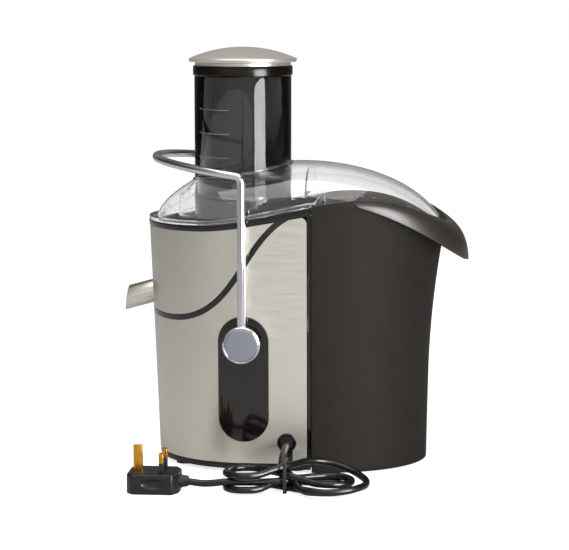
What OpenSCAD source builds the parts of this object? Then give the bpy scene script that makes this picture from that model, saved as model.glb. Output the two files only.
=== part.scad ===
// Centrifugal juicer standing on a worktop at z = 0, in millimetres.
// +Z is up. -X is the juice spout, +X is the pulp bin, -Y is the side where the mains cord comes out.
// Lengths below that are "from the core" are measured from core_x, the centre of the housing's round end.

/* [Housing] */
// Centre of the housing's round end, along X
core_x = -41; // [-43:0.5:-39]
// Radius of the round end where it would meet the worktop
body_r_floor = 88; // [87:0.5:89]
// How far the walls lean outwards for each millimetre of height
body_flare = 0.04; // [0.036:0.002:0.044]
// Distance from the core to the flat wall beside the bin
seam_d = 62; // [61:0.5:63]
// Thickness of the moulded housing wall
wall_t = 3; // [2.6:0.2:3.4]
// Thickness of the steel wraps
skin_t = 0.8; // [0.6:0.1:0.9]
// Height of the rubber feet
foot_h = 3; // [2.5:0.5:3.5]
// Height of the top of the black base band
band_z = 8.5; // [8:0.5:9]
// Height of the steel's top edge at the spout end
steel_z = 220; // [218:1:222]
// Width of the black stripe between the two steel wraps
stripe_w = 5.2; // [4.5:0.1:6]
// Height of the motor deck's underside
deck_z = 130; // [129:0.5:131]

/* [Juicing parts] */
// Spin axis, from the core
spin_d = -9; // [-9.5:0.5:-8.5]
// Outer radius of the juice bowl
bowl_r = 63; // [62:0.5:63.5]
// Underside of the juice bowl
bowl_z = 147; // [146.5:0.5:147.5]
// Height of the grater disc
disc_z = 167; // [166.5:0.5:168]
// Radius of the filter basket at the disc
basket_r = 46.5; // [46:0.5:47]
// Radius of the filter basket at its top
basket_r_top = 57; // [56:0.5:57.5]
// Height of the top of the filter basket
basket_top = 208; // [206:1:208]
// Outer radius of the juice spout
spout_r = 11; // [10:0.5:11.5]
// Downward slope of the spout in degrees
spout_tilt = 15.5; // [14:0.5:17]

/* [Lid and pusher] */
// Outer radius of the feed tube
tube_r = 45.5; // [45.2:0.1:45.8]
// Height of the top of the feed tube
tube_top = 358.8; // [352:0.2:362]
// Wall of the clear lid
lid_t = 2.5; // [2.2:0.1:2.8]
// Outer radius of the pusher
pusher_r = 42.5; // [42:0.1:42.7]
// Radius of the pusher's cap
cap_r = 50.8; // [49:0.2:52]
// Height of the whole juicer
overall_h = 386; // [384:0.5:390]

/* [Locking bail] */
// Height of the bail's pivot
pivot_z = 121; // [120:0.5:122]
// Distance from the mid-plane to the middle of each arm
arm_y = 106; // [105.5:0.5:107]
// Radius of the bent rod
rod_r = 3.8; // [3.5:0.1:4]
// Height of the corner between arm and loop
corner_z = 272; // [271:0.5:274]
// Reach of the loop from the arms towards the spout
loop_reach = 90.5; // [88:0.5:92]
// Radius of the pivot caps
pivot_cap_r = 17; // [16:0.5:18]

/* [Pulp bin] */
// Reach of the bin from the housing to its nose, at the worktop
bin_len = 103.2; // [102:0.2:104]
// Highest point of the bin's arched rim
bin_rim_z = 250; // [249:0.5:250.5]
// Reach of the brim from the housing
brim_len = 141.5; // [140:0.5:143]
// Wall of the bin
bin_t = 2.5; // [2.2:0.1:2.8]

/* [Cord and plug] */
// Diameter of the mains cord
cord_d = 6.2; // [6:0.1:6.4]
// Height of the cord outlet's centre
outlet_z = 28.4; // [27:0.2:30]
// Height of the plug's moulded body, lying pins up
plug_h = 18; // [17:0.5:19]

/* [Hidden] */

round_fn = 96;
small_fn = 48;
slack = 0.05;        // radial play between parts that are pressed or run together
clear_gap = 0.4;     // gap between parts that move past each other
far = 400;           // longer than anything it has to cut
pivot_d = 0.5;       // bail pivot, from the core
knob_z = 47;         // height of the control knob's axis
lip_z = 244.5;       // height of the lip that the bin tips about
tube_wall = 2;
tube_low = 185;      // lower end of the feed tube, inside the basket
pusher_low = 189;    // underside of the pusher
core_half = 17.5;    // half the height of the motor's steel cores
core_mid = 68;       // middle of the cores
shaft_r = 4;
outlet_d = 40;       // cord outlet, from the core
spout_z = 179;       // height at which the spout's axis would cross the spin axis
spout_len = 119.6;   // from the spin axis to the lower lip of the mouth
spout_wall = 1;
stub_r = spout_r - 1.4;  // outside of the bowl's stub, which the spout is pushed over
stub_end = 80;           // end of the stub, along the spout

// ---- heights and radii that follow from the dimensions ----
function body_r(z) = body_r_floor + body_flare * z;
function ramp(x, slope) = slope / 2 * (x + 25 + sqrt((x + 25) * (x + 25) + 625));
function steel_top(x) = steel_z + ramp(x, 0.19);
function rim_top(x) = steel_z + 5 + ramp(x, 0.22);
function bin_rim(x) = bin_rim_z - (x < 107 ? 0.0026 : 0.0042) * (x - 107) * (x - 107);
function bin_reach(z) = bin_len + 0.02 * z + 0.0006 * pow(max(0, z - 80), 2);
function crease(x) = bin_rim_z - 1 - 0.19 * (x - 85) - 0.0027 * (x - 85) * (x - 85);
function cubic(a, b, c, d, t) = pow(1 - t, 3) * a + 3 * t * pow(1 - t, 2) * b + 3 * t * t * (1 - t) * c
    + t * t * t * d;
function cubic_slope(a, b, c, d, t) = pow(1 - t, 2) * (b - a) + 2 * t * (1 - t) * (c - b) + t * t * (d - c);

// Centre line of the stripe in side view, from the spout end up to the rim
stripe_pts = [[-100, 142.5], [0, 122], [-10, 215], [48, 239]];
function stripe(t, side) = let (
        p = cubic(stripe_pts[0], stripe_pts[1], stripe_pts[2], stripe_pts[3], t),
        d = cubic_slope(stripe_pts[0], stripe_pts[1], stripe_pts[2], stripe_pts[3], t))
    p + side * stripe_w / 2 * [-d[1], d[0]] / norm(d);
function stripe_edge(side, from, to) = [for (i = [0:24]) stripe(from + (to - from) * i / 24, side)];

// ---- shared shapes ----
module at_core() { translate([core_x, 0, 0]) children(); }
module at_spin() { translate([core_x + spin_d, 0, 0]) children(); }
// Side-view outline (x, z) turned into a slab across the whole width
module side_cut() { rotate([90, 0, 0]) translate([0, 0, -far / 2]) linear_extrude(far) children(); }
// Ring or disc on the Z axis
module ring(r_out, r_in, z0, z1) {
    translate([0, 0, z0]) difference() {
        cylinder(h = z1 - z0, r = r_out, $fn = round_fn);
        if (r_in > 0) translate([0, 0, -1]) cylinder(h = z1 - z0 + 2, r = r_in, $fn = round_fn);
    }
}
// Rod between two heights, standing at a point
module post(x, y, z0, z1, r) { translate([x, y, z0]) cylinder(h = z1 - z0, r = r, $fn = small_fn); }
// Rod along Y between two places
module cross_rod(x, z, y0, y1, r) {
    translate([x, y0, z]) rotate([-90, 0, 0]) cylinder(h = y1 - y0, r = r, $fn = small_fn);
}
// The housing's outer form, round on one side and flat on the other, set in by a margin
module body_form(inset, z0, z1, x1) {
    intersection() {
        translate([0, 0, z0])
            cylinder(h = z1 - z0, r1 = body_r(z0) - inset, r2 = body_r(z1) - inset, $fn = round_fn);
        translate([-far, -far, z0]) cube([far, 2 * far, z1 - z0]);
    }
    rotate([90, 0, 90]) linear_extrude(x1) polygon([
        [inset - body_r(z0), z0], [body_r(z0) - inset, z0],
        [body_r(z1) - inset, z1], [inset - body_r(z1), z1]]);
}
// Everything below a height that follows the slanted top; kind picks the rim or the steel edge
module below_top(rim, up) {
    side_cut() polygon(concat([[70, 0], [-110, 0]],
        [for (x = [-110:9:70]) [x, (rim ? rim_top(x) : steel_top(x)) + up]]));
}
// Upright pill shape in side view, for the side panels
module pill(r, z_low, z_high) {
    rotate([90, 0, 0]) translate([0, 0, -far / 2]) linear_extrude(far) union() {
        translate([pivot_d, z_low + r]) circle(r = r, $fn = round_fn);
        translate([pivot_d, z_high - r]) circle(r = r, $fn = round_fn);
        translate([pivot_d - r, z_low + r]) square([2 * r, z_high - z_low - 2 * r]);
    }
}
// Keyhole outline of the cord outlet
module keyhole(grow) {
    rotate([90, 0, 0]) linear_extrude(far) union() {
        translate([outlet_d, outlet_z]) circle(r = 8.6 + grow, $fn = round_fn);
        translate([outlet_d - 5.2 - grow, 0]) square([10.4 + 2 * grow, outlet_z]);
    }
}
// Skin over rings of points, closed by a fan at each end
module skin(rings) {
    n = len(rings[0]);
    m = len(rings);
    polyhedron(points = [for (r = rings) each r], faces = concat(
        [for (i = [1:n - 2]) [0, i, i + 1]],
        [for (j = [0:m - 2]) for (i = [0:n - 1]) let (k = (i + 1) % n)
            each [[j * n + i, (j + 1) * n + i, (j + 1) * n + k], [j * n + i, (j + 1) * n + k, j * n + k]]],
        [for (i = [1:n - 2]) [(m - 1) * n, (m - 1) * n + i + 1, (m - 1) * n + i]]));
}

// The spout's axis, from the spin axis down and out to its mouth
module spout_axis() { translate([spin_d, 0, spout_z]) rotate([0, -90 - spout_tilt, 0]) children(); }
module spout_hole() {
    spout_axis() translate([0, 0, 75]) cylinder(h = 60, r = spout_r + clear_gap, $fn = round_fn);
}

foot_spots = [[-58, -48], [-58, 48], [47, -70], [47, 70]];
screw_spots = [[-70, -22], [-70, 22], [22, -74], [22, 74]];

// ---- base ----
module rubber_feet() color("dimgray") at_core() {
    for (p = foot_spots) {
        post(p[0], p[1], 0, foot_h, 9);
        post(p[0], p[1], foot_h, foot_h + 3, 5 - slack);
    }
}

module base_plate() color([0.07, 0.065, 0.06]) at_core() {
    floor_t = 4;
    difference() {
        body_form(0.4, foot_h, band_z, seam_d - 0.4);
        body_form(wall_t + 1, foot_h + floor_t, band_z + 1, seam_d - wall_t - 1);
        for (p = foot_spots) post(p[0], p[1], foot_h - 1, foot_h + 3.1, 5);
        for (p = screw_spots) {
            post(p[0], p[1], foot_h - 1, foot_h + floor_t + 1, 2.3);
            post(p[0], p[1], foot_h - 1, foot_h + 2.4, 4.3);
        }
        for (i = [-4:4]) translate([spin_d + 7 * i - 1.5, -24, foot_h - 1]) cube([3, 48, floor_t + 2]);
    }
}

module base_screws() color("silver") at_core() {
    for (p = screw_spots) {
        post(p[0], p[1], foot_h + 0.3, foot_h + 2.4, 3.9);
        post(p[0], p[1], foot_h + 2.4, 22, 1.9);
    }
}

// ---- housing ----
module housing_shell() {
    difference() {
        union() {
            intersection() {
                body_form(skin_t + 0.1, band_z, far / 1.6, seam_d);
                below_top(true, 0);
            }
            intersection() {
                body_form(0, band_z, far / 1.6, seam_d);
                union() {
                    intersection() {
                        below_top(true, 0);
                        difference() {
                            translate([-110, -far / 2, 150]) cube([180, far, 110]);
                            below_top(false, 0);
                        }
                    }
                    intersection() {
                        below_top(true, 0);
                        side_cut() polygon(concat(stripe_edge(1, 0, 1), stripe_edge(-1, 1, 0)));
                    }
                    intersection() {
                        below_top(true, 0);
                        translate([58.5, -far / 2, 0]) cube([10, far, far]);
                    }
                }
            }
        }
        body_form(wall_t + skin_t, 0, deck_z, seam_d - wall_t);
        body_form(wall_t + skin_t, deck_z + 4, far / 1.5, seam_d - wall_t);
    }
}

// Both parts of the housing, without the bowl's seat
module housing_form() {
    difference() {
        union() {
            housing_shell();
            for (p = screw_spots) post(p[0], p[1], foot_h + 4.1, 30, 5);
            for (p = screw_spots) translate([p[0], p[1], 12])
                rotate([0, 0, p[0] < 0 ? atan2(p[1], p[0]) : 90 * sign(p[1])])
                    translate([0, -1.5, 0]) cube([12.5, 3, 16]);
            // ring under the deck that holds the motor's rubber mounts
            translate([spin_d, 0, 0]) ring(46, 42, 124, deck_z + 0.5);
            // rounded lip that the bin tips about
            for (y = [-84, 56]) cross_rod(seam_d + 1, lip_z, y, y + 28, 1.6);
            // guide for the interlock plunger
            post(pivot_d, -78, 88, 100, 6);
            translate([pivot_d - 2, -90.5, 88]) cube([4, 10, 12]);
            translate([pivot_d - 2, -89, 55]) cube([4, 5, 18]);
        }
        translate([spin_d, 0, 0]) ring(13, 0, deck_z - 1, deck_z + 6);
        // way for the pulp over the wall into the bin
        translate([seam_d - 8, -50, 204]) cube([12, 100, 80]);
        // spout hole
        spout_hole();
        // bush holes
        cross_rod(pivot_d, pivot_z, -far / 2, far / 2, 8);
        // cord outlet hole, control knob hole, plunger bore
        cross_rod(outlet_d, outlet_z, -far / 2, 0, 6.3);
        cross_rod(pivot_d, knob_z, 0, far / 2, 6);
        post(pivot_d, -78, 80, 110, 3.3);
        for (p = screw_spots) post(p[0], p[1], foot_h + 4, 25, 1.95);
    }
}

// Motor space with its deck, and the seat for the juice bowl on top
module motor_housing() color([0.07, 0.065, 0.06]) at_core() {
    intersection() {
        housing_form();
        translate([-far / 2, -far / 2, 0]) cube([far, far, deck_z + 4]);
    }
    translate([spin_d, 0, 0]) ring(60, 56, deck_z + 3.5, bowl_z - 0.3);
}

// Wall of the juicing space. It is moulded in one with the motor space; here it is its own simple ring.
module upper_housing() color([0.07, 0.065, 0.06]) at_core() intersection() {
    housing_form();
    translate([-far / 2, -far / 2, deck_z + 4]) cube([far, far, far]);
}

// Both steel wraps together, before they are parted by the stripe
module steel_skin() {
    intersection() {
        difference() {
            body_form(0, band_z + 0.2, far / 1.6, seam_d);
            body_form(skin_t, band_z - 1, far / 1.5, seam_d + 1);
        }
        below_top(false, -0.1);
    }
}

module upper_steel_wrap() color([0.72, 0.70, 0.66]) at_core() {
    intersection() {
        difference() {
            steel_skin();
            spout_hole();
        }
        side_cut() polygon(concat(stripe_edge(1.04, 0, 1), [[48, 260], [-110, 260]]));
    }
}

module lower_steel_wrap() color([0.72, 0.70, 0.66]) at_core() {
    difference() {
        intersection() {
            steel_skin();
            side_cut() difference() {
                polygon(concat(stripe_edge(-1.04, 0, 1), [[58.4, 245], [58.4, 0], [-110, 0]]));
                difference() {
                    translate([52.4, steel_top(58) - 6.1]) square([7, 20]);
                    translate([52.4, steel_top(58) - 6.1]) circle(r = 6, $fn = small_fn);
                }
            }
        }
        pill(23.2, 28.8, 144.8);
        keyhole(0.2);
    }
}

module side_panel(side) {
    intersection() {
        difference() {
            body_form(-1.8, 20, 160, seam_d);
            body_form(skin_t + slack, 10, 170, seam_d + 1);
        }
        pill(23, 29, 144.6);
        translate([-far / 2, side > 0 ? 0 : -far, 0]) cube(far);
    }
}

module side_panel_front() color([0.1, 0.08, 0.07]) at_core() {
    difference() {
        side_panel(-1);
        cross_rod(pivot_d, pivot_z, -far / 2, 0, 8);
    }
}

module side_panel_back() color([0.1, 0.08, 0.07]) at_core() {
    difference() {
        side_panel(1);
        cross_rod(pivot_d, pivot_z, 0, far / 2, 8);
        cross_rod(pivot_d, knob_z, 0, far / 2, 6);
    }
}

module pivot_bushes() color("goldenrod") at_core() {
    for (side = [-1, 1]) scale([1, side, 1]) difference() {
        union() {
            cross_rod(pivot_d, pivot_z, 84, 96, 8 - slack);
            cross_rod(pivot_d, pivot_z, 84, 87, 8.9);
        }
        cross_rod(pivot_d, pivot_z, 80, 100, 5 + slack);
    }
}

module cord_bezel() color([0.05, 0.05, 0.05]) at_core() {
    intersection() {
        difference() {
            body_form(-1, band_z + 0.3, 50, seam_d);
            body_form(skin_t + slack, 0, 60, seam_d + 1);
        }
        difference() {
            keyhole(0);
            cross_rod(outlet_d, outlet_z, -far / 2, 0, 6.3);
            translate([outlet_d - 3.6, -far / 2, 0]) cube([7.2, far / 2, outlet_z]);
        }
    }
}

module cord_clamp() color("dimgray") at_core() {
    difference() {
        union() {
            translate([outlet_d - 9, -78, outlet_z - 10]) cube([18, 8, 20]);
            cross_rod(outlet_d, outlet_z, -88.5, -78, 6.2);
        }
        cross_rod(outlet_d, outlet_z, -90, -60, cord_d / 2);
    }
}

// ---- electrical parts ----
module terminal_block() color("whitesmoke") at_core() {
    difference() {
        translate([25, -68, 7]) cube([30, 12, 12]);
        for (i = [0:2]) post(31 + 9 * i, -62, 13, 30, 2.2);
    }
}

module rotary_switch() color("ivory") at_core() {
    difference() {
        union() {
            translate([pivot_d - 14, 66, knob_z - 14]) cube([28, 16, 28]);
            cross_rod(pivot_d, knob_z, 82, 91.5, 5.8);
        }
        cross_rod(pivot_d, knob_z, 60, 99, 3 + slack);
    }
}

module thermal_cutout() color("darkred") at_spin() translate([-7, 34, core_mid - 6]) cube([14, 6, 12]);

module interlock_switch() color("darkslategray") at_core() {
    translate([pivot_d - 6, -84, 55]) cube([12, 12, 18]);
}

module internal_leads() color("saddlebrown") at_core() {
    across = [0, 0, 1];
    tube([[31, -56, 14], [31, -52, 14], [26, -47, 16], [14, -50, 24], [4, -60, 42], [1, -71, 58]], 2.4, 8, across);
    tube([[40, -56, 14], [41, -44, 14], [44, 0, 15], [42, 36, 22], [32, 58, 34], [15.4, 74, 44]], 2.4, 8, across);
    tube([[49, -56, 14], [51, -40, 14], [52, -8, 20], [44, 24, 34], [24, 38, 54], [-1.9, 38, 64]], 2.4, 8, across);
}

// ---- motor ----
module stator_core() color("slategray") at_spin() {
    difference() {
        intersection() {
            translate([-39, -34, core_mid - core_half]) cube([78, 68, 2 * core_half]);
            ring(44, 24, core_mid - core_half, core_mid + core_half);
        }
        for (side = [-1, 1]) scale([side, 1, 1])
            translate([20, -9, core_mid - core_half - 1]) cube([9, 18, 2 * core_half + 2]);
    }
}

module field_coils() color("chocolate") at_spin() {
    for (side = [-1, 1]) scale([1, side, 1]) for (end = [-1, 1])
        intersection() {
            ring(33, 25, core_mid + end * 24 - 6, core_mid + end * 24 + 6);
            translate([-30, 6, 0]) cube([60, 30, far]);
        }
}

module motor_bracket(z0, arm_r, post_z) {
    difference() {
        union() {
            ring(16, 0, z0, z0 + 10);
            for (a = [45:90:315]) rotate([0, 0, a]) translate([0, -4, z0]) cube([arm_r, 8, 5]);
            for (a = [45:90:315]) rotate([0, 0, a]) post(arm_r, 0, min(z0, post_z), max(z0 + 5, post_z), 4);
        }
        ring(11, 0, z0 - 1, z0 + 8);
        ring(6, 0, z0 - 1, z0 + 12);
        for (a = [45:90:315]) rotate([0, 0, a]) post(arm_r, 0, 0, far, 1.7);
    }
}

module upper_motor_bracket() color("lightgray") at_spin() motor_bracket(112, 39, core_mid + core_half);

module lower_motor_bracket() color("lightgray") at_spin()
    mirror([0, 0, 1]) translate([0, 0, -52]) motor_bracket(20, 39, 52 - core_mid + core_half);

// Sealed ball bearing: outer ring, shields set back a little, inner ring
module bearing(z0) {
    difference() {
        ring(11 - slack, shaft_r + 0.01, z0, z0 + 7);
        ring(8.6, 6, z0 - 1, z0 + 0.5);
        ring(8.6, 6, z0 + 6.5, z0 + 8);
    }
}

module bearings() color("silver") at_spin() for (z = [24.2, 113]) bearing(z);

module brush_holders() color("goldenrod") at_spin() {
    for (side = [-1, 1]) scale([side, 1, 1]) difference() {
        translate([14, -5, 32]) cube([22, 10, 12]);
        translate([13, -3.1, 35.9]) cube([22, 6.2, 6.2]);
    }
}

module carbon_brushes() color([0.12, 0.12, 0.12]) at_spin() {
    for (side = [-1, 1]) scale([side, 1, 1]) translate([12.3, -3, 36]) cube([16, 6, 6]);
}

module motor_mounts() color([0.1, 0.1, 0.1]) at_spin() {
    for (a = [45:90:315]) rotate([0, 0, a]) difference() {
        post(36, 0, 117.1, deck_z, 5);
        post(36, 0, 110, 124, 1.7);
    }
}

module shaft_seal() color([0.1, 0.1, 0.1]) at_spin() {
    ring(13 - slack, 7.4, deck_z, deck_z + 4);
    ring(9, 7.4, deck_z + 4, deck_z + 6.4);
}

module motor_shaft() color("silver") at_spin() ring(shaft_r, 0, 24.3, disc_z - 1);

module rotor_core() color("slategray") at_spin() {
    difference() {
        ring(23.4, shaft_r, core_mid - core_half, core_mid + core_half);
        for (a = [0:30:330]) rotate([0, 0, a])
            translate([16, -1.6, core_mid - core_half - 1]) cube([6, 3.2, 2 * core_half + 2]);
    }
}

module rotor_windings() color("chocolate") at_spin() {
    ring(20, 8, core_mid + core_half, core_mid + core_half + 10);
    ring(20, 8, core_mid - core_half - 6, core_mid - core_half);
    for (a = [0:30:330]) rotate([0, 0, a])
        translate([16.2, -1.4, core_mid - core_half]) cube([5.2, 2.8, 2 * core_half]);
}

module commutator() color("peru") at_spin() {
    difference() {
        ring(12, shaft_r, 32.5, 44.4);
        for (a = [0:15:345]) rotate([0, 0, a]) translate([11, -0.3, 30]) cube([2, 0.6, 12.4]);
    }
}

module cooling_fan() color("whitesmoke") at_spin() {
    difference() {
        union() {
            ring(8, shaft_r, 99, 109);
            ring(33, 7, 99, 101);
            for (a = [0:30:330]) rotate([0, 0, a]) translate([12, -1, 100.5]) cube([21, 2, 7.5]);
        }
        ring(shaft_r, 0, 90, 120);
    }
}

module drive_coupling() color([0.15, 0.15, 0.15]) at_spin() {
    difference() {
        union() {
            ring(7, shaft_r, 124.5, 146);
            ring(10.5, shaft_r, 146, disc_z - 6);
        }
        for (a = [0:60:300]) rotate([0, 0, a]) translate([8.6, -1.6, 147]) cube([4, 3.2, 20]);
    }
}

module basket_hub() color([0.15, 0.15, 0.15]) at_spin() {
    difference() {
        union() {
            ring(16, 10.6, disc_z - 14, disc_z - 5);
            ring(16, shaft_r + slack, disc_z - 5, disc_z - 2);
            for (a = [0:60:300]) rotate([0, 0, a]) translate([8.8, -1.4, disc_z - 14]) cube([2.4, 2.8, 10]);
        }
        ring(shaft_r + slack, 0, 140, far);
    }
}

// ---- filter basket ----
function basket_wall_r(z) = basket_r + (basket_r_top - basket_r) * (z - disc_z) / (basket_top - 3 - disc_z);
module basket_cone(r_add, z0, z1) {
    translate([0, 0, z0])
        cylinder(h = z1 - z0, r1 = basket_wall_r(z0) + r_add, r2 = basket_wall_r(z1) + r_add, $fn = round_fn);
}

module basket_frame() color("whitesmoke") at_spin() {
    difference() {
        union() {
            ring(basket_r + 2, 0, disc_z - 2, disc_z);
            basket_cone(1.8, disc_z, basket_top - 3);
            ring(basket_r_top + 2.4, 0, basket_top - 3, basket_top);
        }
        basket_cone(0, disc_z, basket_top - 3);
        ring(basket_r_top, 0, basket_top - 4, basket_top + 1);
        // windows between the ribs
        for (a = [0:30:330]) rotate([0, 0, a])
            translate([basket_r - 2, -9, disc_z + 4]) cube([20, 18, basket_top - disc_z - 12]);
        ring(shaft_r + slack, 0, disc_z - 4, disc_z + 1);
    }
}

module filter_mesh() color("lightsteelblue") at_spin() {
    difference() {
        basket_cone(-0.05, disc_z + 1.3, basket_top - 3);
        basket_cone(-0.55, disc_z + 1.2, basket_top - 2.9);
    }
}

module grater_disc() color("silver") at_spin() {
    ring(basket_r - 0.2, shaft_r + slack, disc_z, disc_z + 1.2);
    for (row = [0:3]) for (i = [0:9 + 3 * row])
        rotate([0, 0, (i + row / 2) * 360 / (10 + 3 * row)])
            translate([13 + 8.5 * row, 0, disc_z + 1.2]) cylinder(h = 1.6, r = 1.1, $fn = 3);
}

// ---- juice bowl and spout ----
module juice_bowl() color([0.13, 0.12, 0.12]) at_core() {
    difference() {
        union() {
            translate([spin_d, 0, 0]) ring(bowl_r, 0, bowl_z, 214);
            intersection() {
                body_form(wall_t + skin_t + 0.4, 209, 213.5, seam_d - wall_t - 0.6);
                translate([-far, -far / 2, 0]) cube([far + 50, far, far]);
            }
            spout_axis() translate([0, 0, 56]) cylinder(h = stub_end - 56, r = stub_r, $fn = round_fn);
        }
        translate([spin_d, 0, 0]) ring(bowl_r - 2, 0, bowl_z + 3, 230);
        translate([spin_d, 0, 0]) ring(18.5, 0, bowl_z - 1, bowl_z + 4);
        spout_axis() translate([0, 0, 50]) cylinder(h = 40, r = stub_r - 1.5, $fn = round_fn);
        // lowered lip where the pulp leaves
        translate([seam_d - 24, -40, 205]) cube([40, 80, 30]);
    }
    translate([spin_d, 0, 0]) ring(20.5, 18.5, bowl_z, bowl_z + 6);
}

module juice_spout() color("lightgray") at_core() spout_axis() {
    difference() {
        translate([0, 0, 70]) cylinder(h = spout_len - 70, r = spout_r, $fn = round_fn);
        translate([0, 0, stub_end]) cylinder(h = 80, r = spout_r - spout_wall, $fn = round_fn);
        translate([0, 0, 60]) cylinder(h = 40, r = stub_r + slack, $fn = round_fn);
        // mouth cut back at the top
        translate([-spout_r, 0, spout_len]) rotate([0, 23, 0]) translate([-30, -20, 0]) cube([60, 40, 20]);
    }
}

// ---- locking bail ----
loop_rise = 12.2;                                        // rise of the loop from its corners to its tip
loop_tilt = atan(loop_rise / loop_reach);
loop_len = loop_reach / cos(loop_tilt);                  // reach measured in the loop's own plane
loop_r = (loop_len * loop_len + arm_y * arm_y) / (2 * loop_len);
loop_half = asin(arm_y / loop_r);

module bail_rod() color("silver") at_core() {
    for (side = [-1, 1]) {
        post(pivot_d, side * arm_y, pivot_z + 6, corner_z, rod_r);
        translate([pivot_d, side * arm_y, corner_z]) sphere(r = rod_r + 0.4, $fn = small_fn);
    }
    translate([pivot_d, 0, corner_z]) rotate([0, loop_tilt, 0]) translate([loop_r - loop_len, 0, 0])
        rotate([0, 0, 180 - loop_half]) rotate_extrude(angle = 2 * loop_half, $fn = round_fn)
            translate([loop_r, 0]) circle(r = rod_r, $fn = 24);
}

module pivot_caps() color("silver") at_core() {
    for (side = [-1, 1]) scale([1, side, 1]) difference() {
        union() {
            cross_rod(pivot_d, pivot_z, 98.8, 112, pivot_cap_r);
            cross_rod(pivot_d, pivot_z, 112, 112.6, pivot_cap_r - 0.8);
        }
        cross_rod(pivot_d, pivot_z, 111.8, 120, pivot_cap_r - 2.4);
        cross_rod(pivot_d, pivot_z, 90, 106, 5);
        post(pivot_d, arm_y, pivot_z + 6, pivot_z + 30, rod_r);
    }
}

module pivot_cap_discs() color("lightgray") at_core() {
    for (side = [-1, 1]) scale([1, side, 1]) cross_rod(pivot_d, pivot_z, 111.8, 113, pivot_cap_r - 2.45);
}

module pivot_pins() color("gray") at_core() {
    for (side = [-1, 1]) scale([1, side, 1]) {
        cross_rod(pivot_d, pivot_z, 80, 106, 5);
        cross_rod(pivot_d, pivot_z, 80, 83.5, 8.6);
    }
}

module interlock_plunger() color("whitesmoke") at_core() {
    post(pivot_d, -78, 78, 110.8, 3);
    post(pivot_d, -78, 103, 106, 5);
}

module control_knob() color([0.12, 0.11, 0.1]) at_core() {
    difference() {
        union() {
            cross_rod(pivot_d, knob_z, 93, 96, 18);
            cross_rod(pivot_d, knob_z, 96, 107, 16);
            translate([pivot_d - 2, 107, knob_z - 14]) cube([4, 3, 28]);
        }
        cross_rod(pivot_d, knob_z, 90, 104, 3);
    }
}

module knob_spindle() color("silver") at_core() cross_rod(pivot_d, knob_z, 68, 104, 3);

// ---- lid ----
nose = 115.5;                                            // hood's reach past the seam
dome_r = 91.5;
function hood_plan(inset) = concat(
    [for (a = [90:7.5:270]) (dome_r - inset) * [cos(a), sin(a)]],
    [for (a = [-90:7.5:90]) [seam_d + (nose - inset) * cos(a), (88 - inset) * sin(a)]]);
function hood_side(inset) = concat(
    [for (i = [0:10]) cubic([inset - dome_r, 221], [inset - 88, 240 - inset], [-73, 252 - inset],
        [-50, 265 - inset], i / 10)],
    [for (i = [0:16]) cubic([36, 278.5 - inset], [80, 281 - inset], [150 - inset, 268 - inset],
        [seam_d + nose - inset, 226], i / 16)]);
function skirt_low() = concat([for (x = [seam_d + nose + 4:-8:seam_d]) [x, bin_rim(x) - 6]],
    [for (x = [seam_d - 0.5:-9:-100]) [x, rim_top(x) + clear_gap]]);

// Cross arch of the hood (y, z)
function hood_arch(inset) = [for (a = [0:7.5:180]) let (c = cos(a), s = sin(a))
    [(93 - inset) * sign(c) * pow(abs(c), 0.6), 224 + (56 - inset) * pow(s, 0.75)]];
module lid_form(inset) {
    intersection() {
        rotate([90, 0, 90]) translate([0, 0, -150]) linear_extrude(far)
            polygon(concat(hood_arch(inset), [[inset - 93, 190], [93 - inset, 190]]));
        translate([0, 0, 200]) linear_extrude(120) polygon(hood_plan(inset));
        side_cut() polygon(concat(hood_side(inset),
            [[seam_d + nose - inset, 190], [inset - dome_r, 190]]));
    }
}
module above_skirt() {
    side_cut() polygon(concat([[-100, 330], [seam_d + nose + 4, 330]], skirt_low()));
}

module clear_lid() color([0.85, 0.9, 0.95, 0.35]) at_core() {
    difference() {
        union() {
            intersection() {
                difference() {
                    lid_form(0);
                    lid_form(lid_t);
                }
                above_skirt();
            }
            // flat flange that rests on the housing's rim
            intersection() {
                body_form(0, 200, 260, seam_d - 0.6);
                side_cut() polygon(concat([for (x = [-110:9:70]) [x, rim_top(x) + clear_gap + 3.2]],
                    [for (x = [70:-9:-110]) [x, rim_top(x) + clear_gap]]));
            }
            // splash ring that hangs inside the dome
            translate([spin_d, 0, 0]) intersection() {
                ring(61, 58, 216, 250);
                translate([-far, -far, 0]) cube([far + 30, 2 * far, far]);
            }
        }
        difference() {
            lid_form(lid_t);
            translate([spin_d, 0, 0]) ring(61, 58, 216, 250);
        }
        translate([spin_d, 0, 0]) ring(tube_r, 0, 180, far);
    }
}

// The feed tube is moulded in one with the lid; here it is its own simple ring
module feed_tube() color([0.85, 0.9, 0.95, 0.35]) at_spin() ring(tube_r, tube_r - tube_wall, tube_low, tube_top);

module lid_seal() color([0.2, 0.2, 0.2]) at_core() translate([spin_d, 0, 0]) difference() {
    ring(63, 58, 214.4, 216);
    translate([30, -far / 2, 200]) cube([far, far, 60]);
}

// ---- pusher ----
collar_z = tube_top + clear_gap;
collar_h = 9.4;
module pusher_body() color([0.16, 0.13, 0.13, 0.8]) at_spin() {
    difference() {
        ring(pusher_r, 0, pusher_low, collar_z);
        ring(pusher_r - 2, 0, pusher_low + 3, collar_z + 1);
    }
}

module pusher_collar() color([0.1, 0.08, 0.07]) at_spin() {
    ring(46.7, pusher_r - 6, collar_z, collar_z + collar_h);
    ring(pusher_r - 2 - slack, pusher_r - 6, collar_z - 7, collar_z);
}

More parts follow.
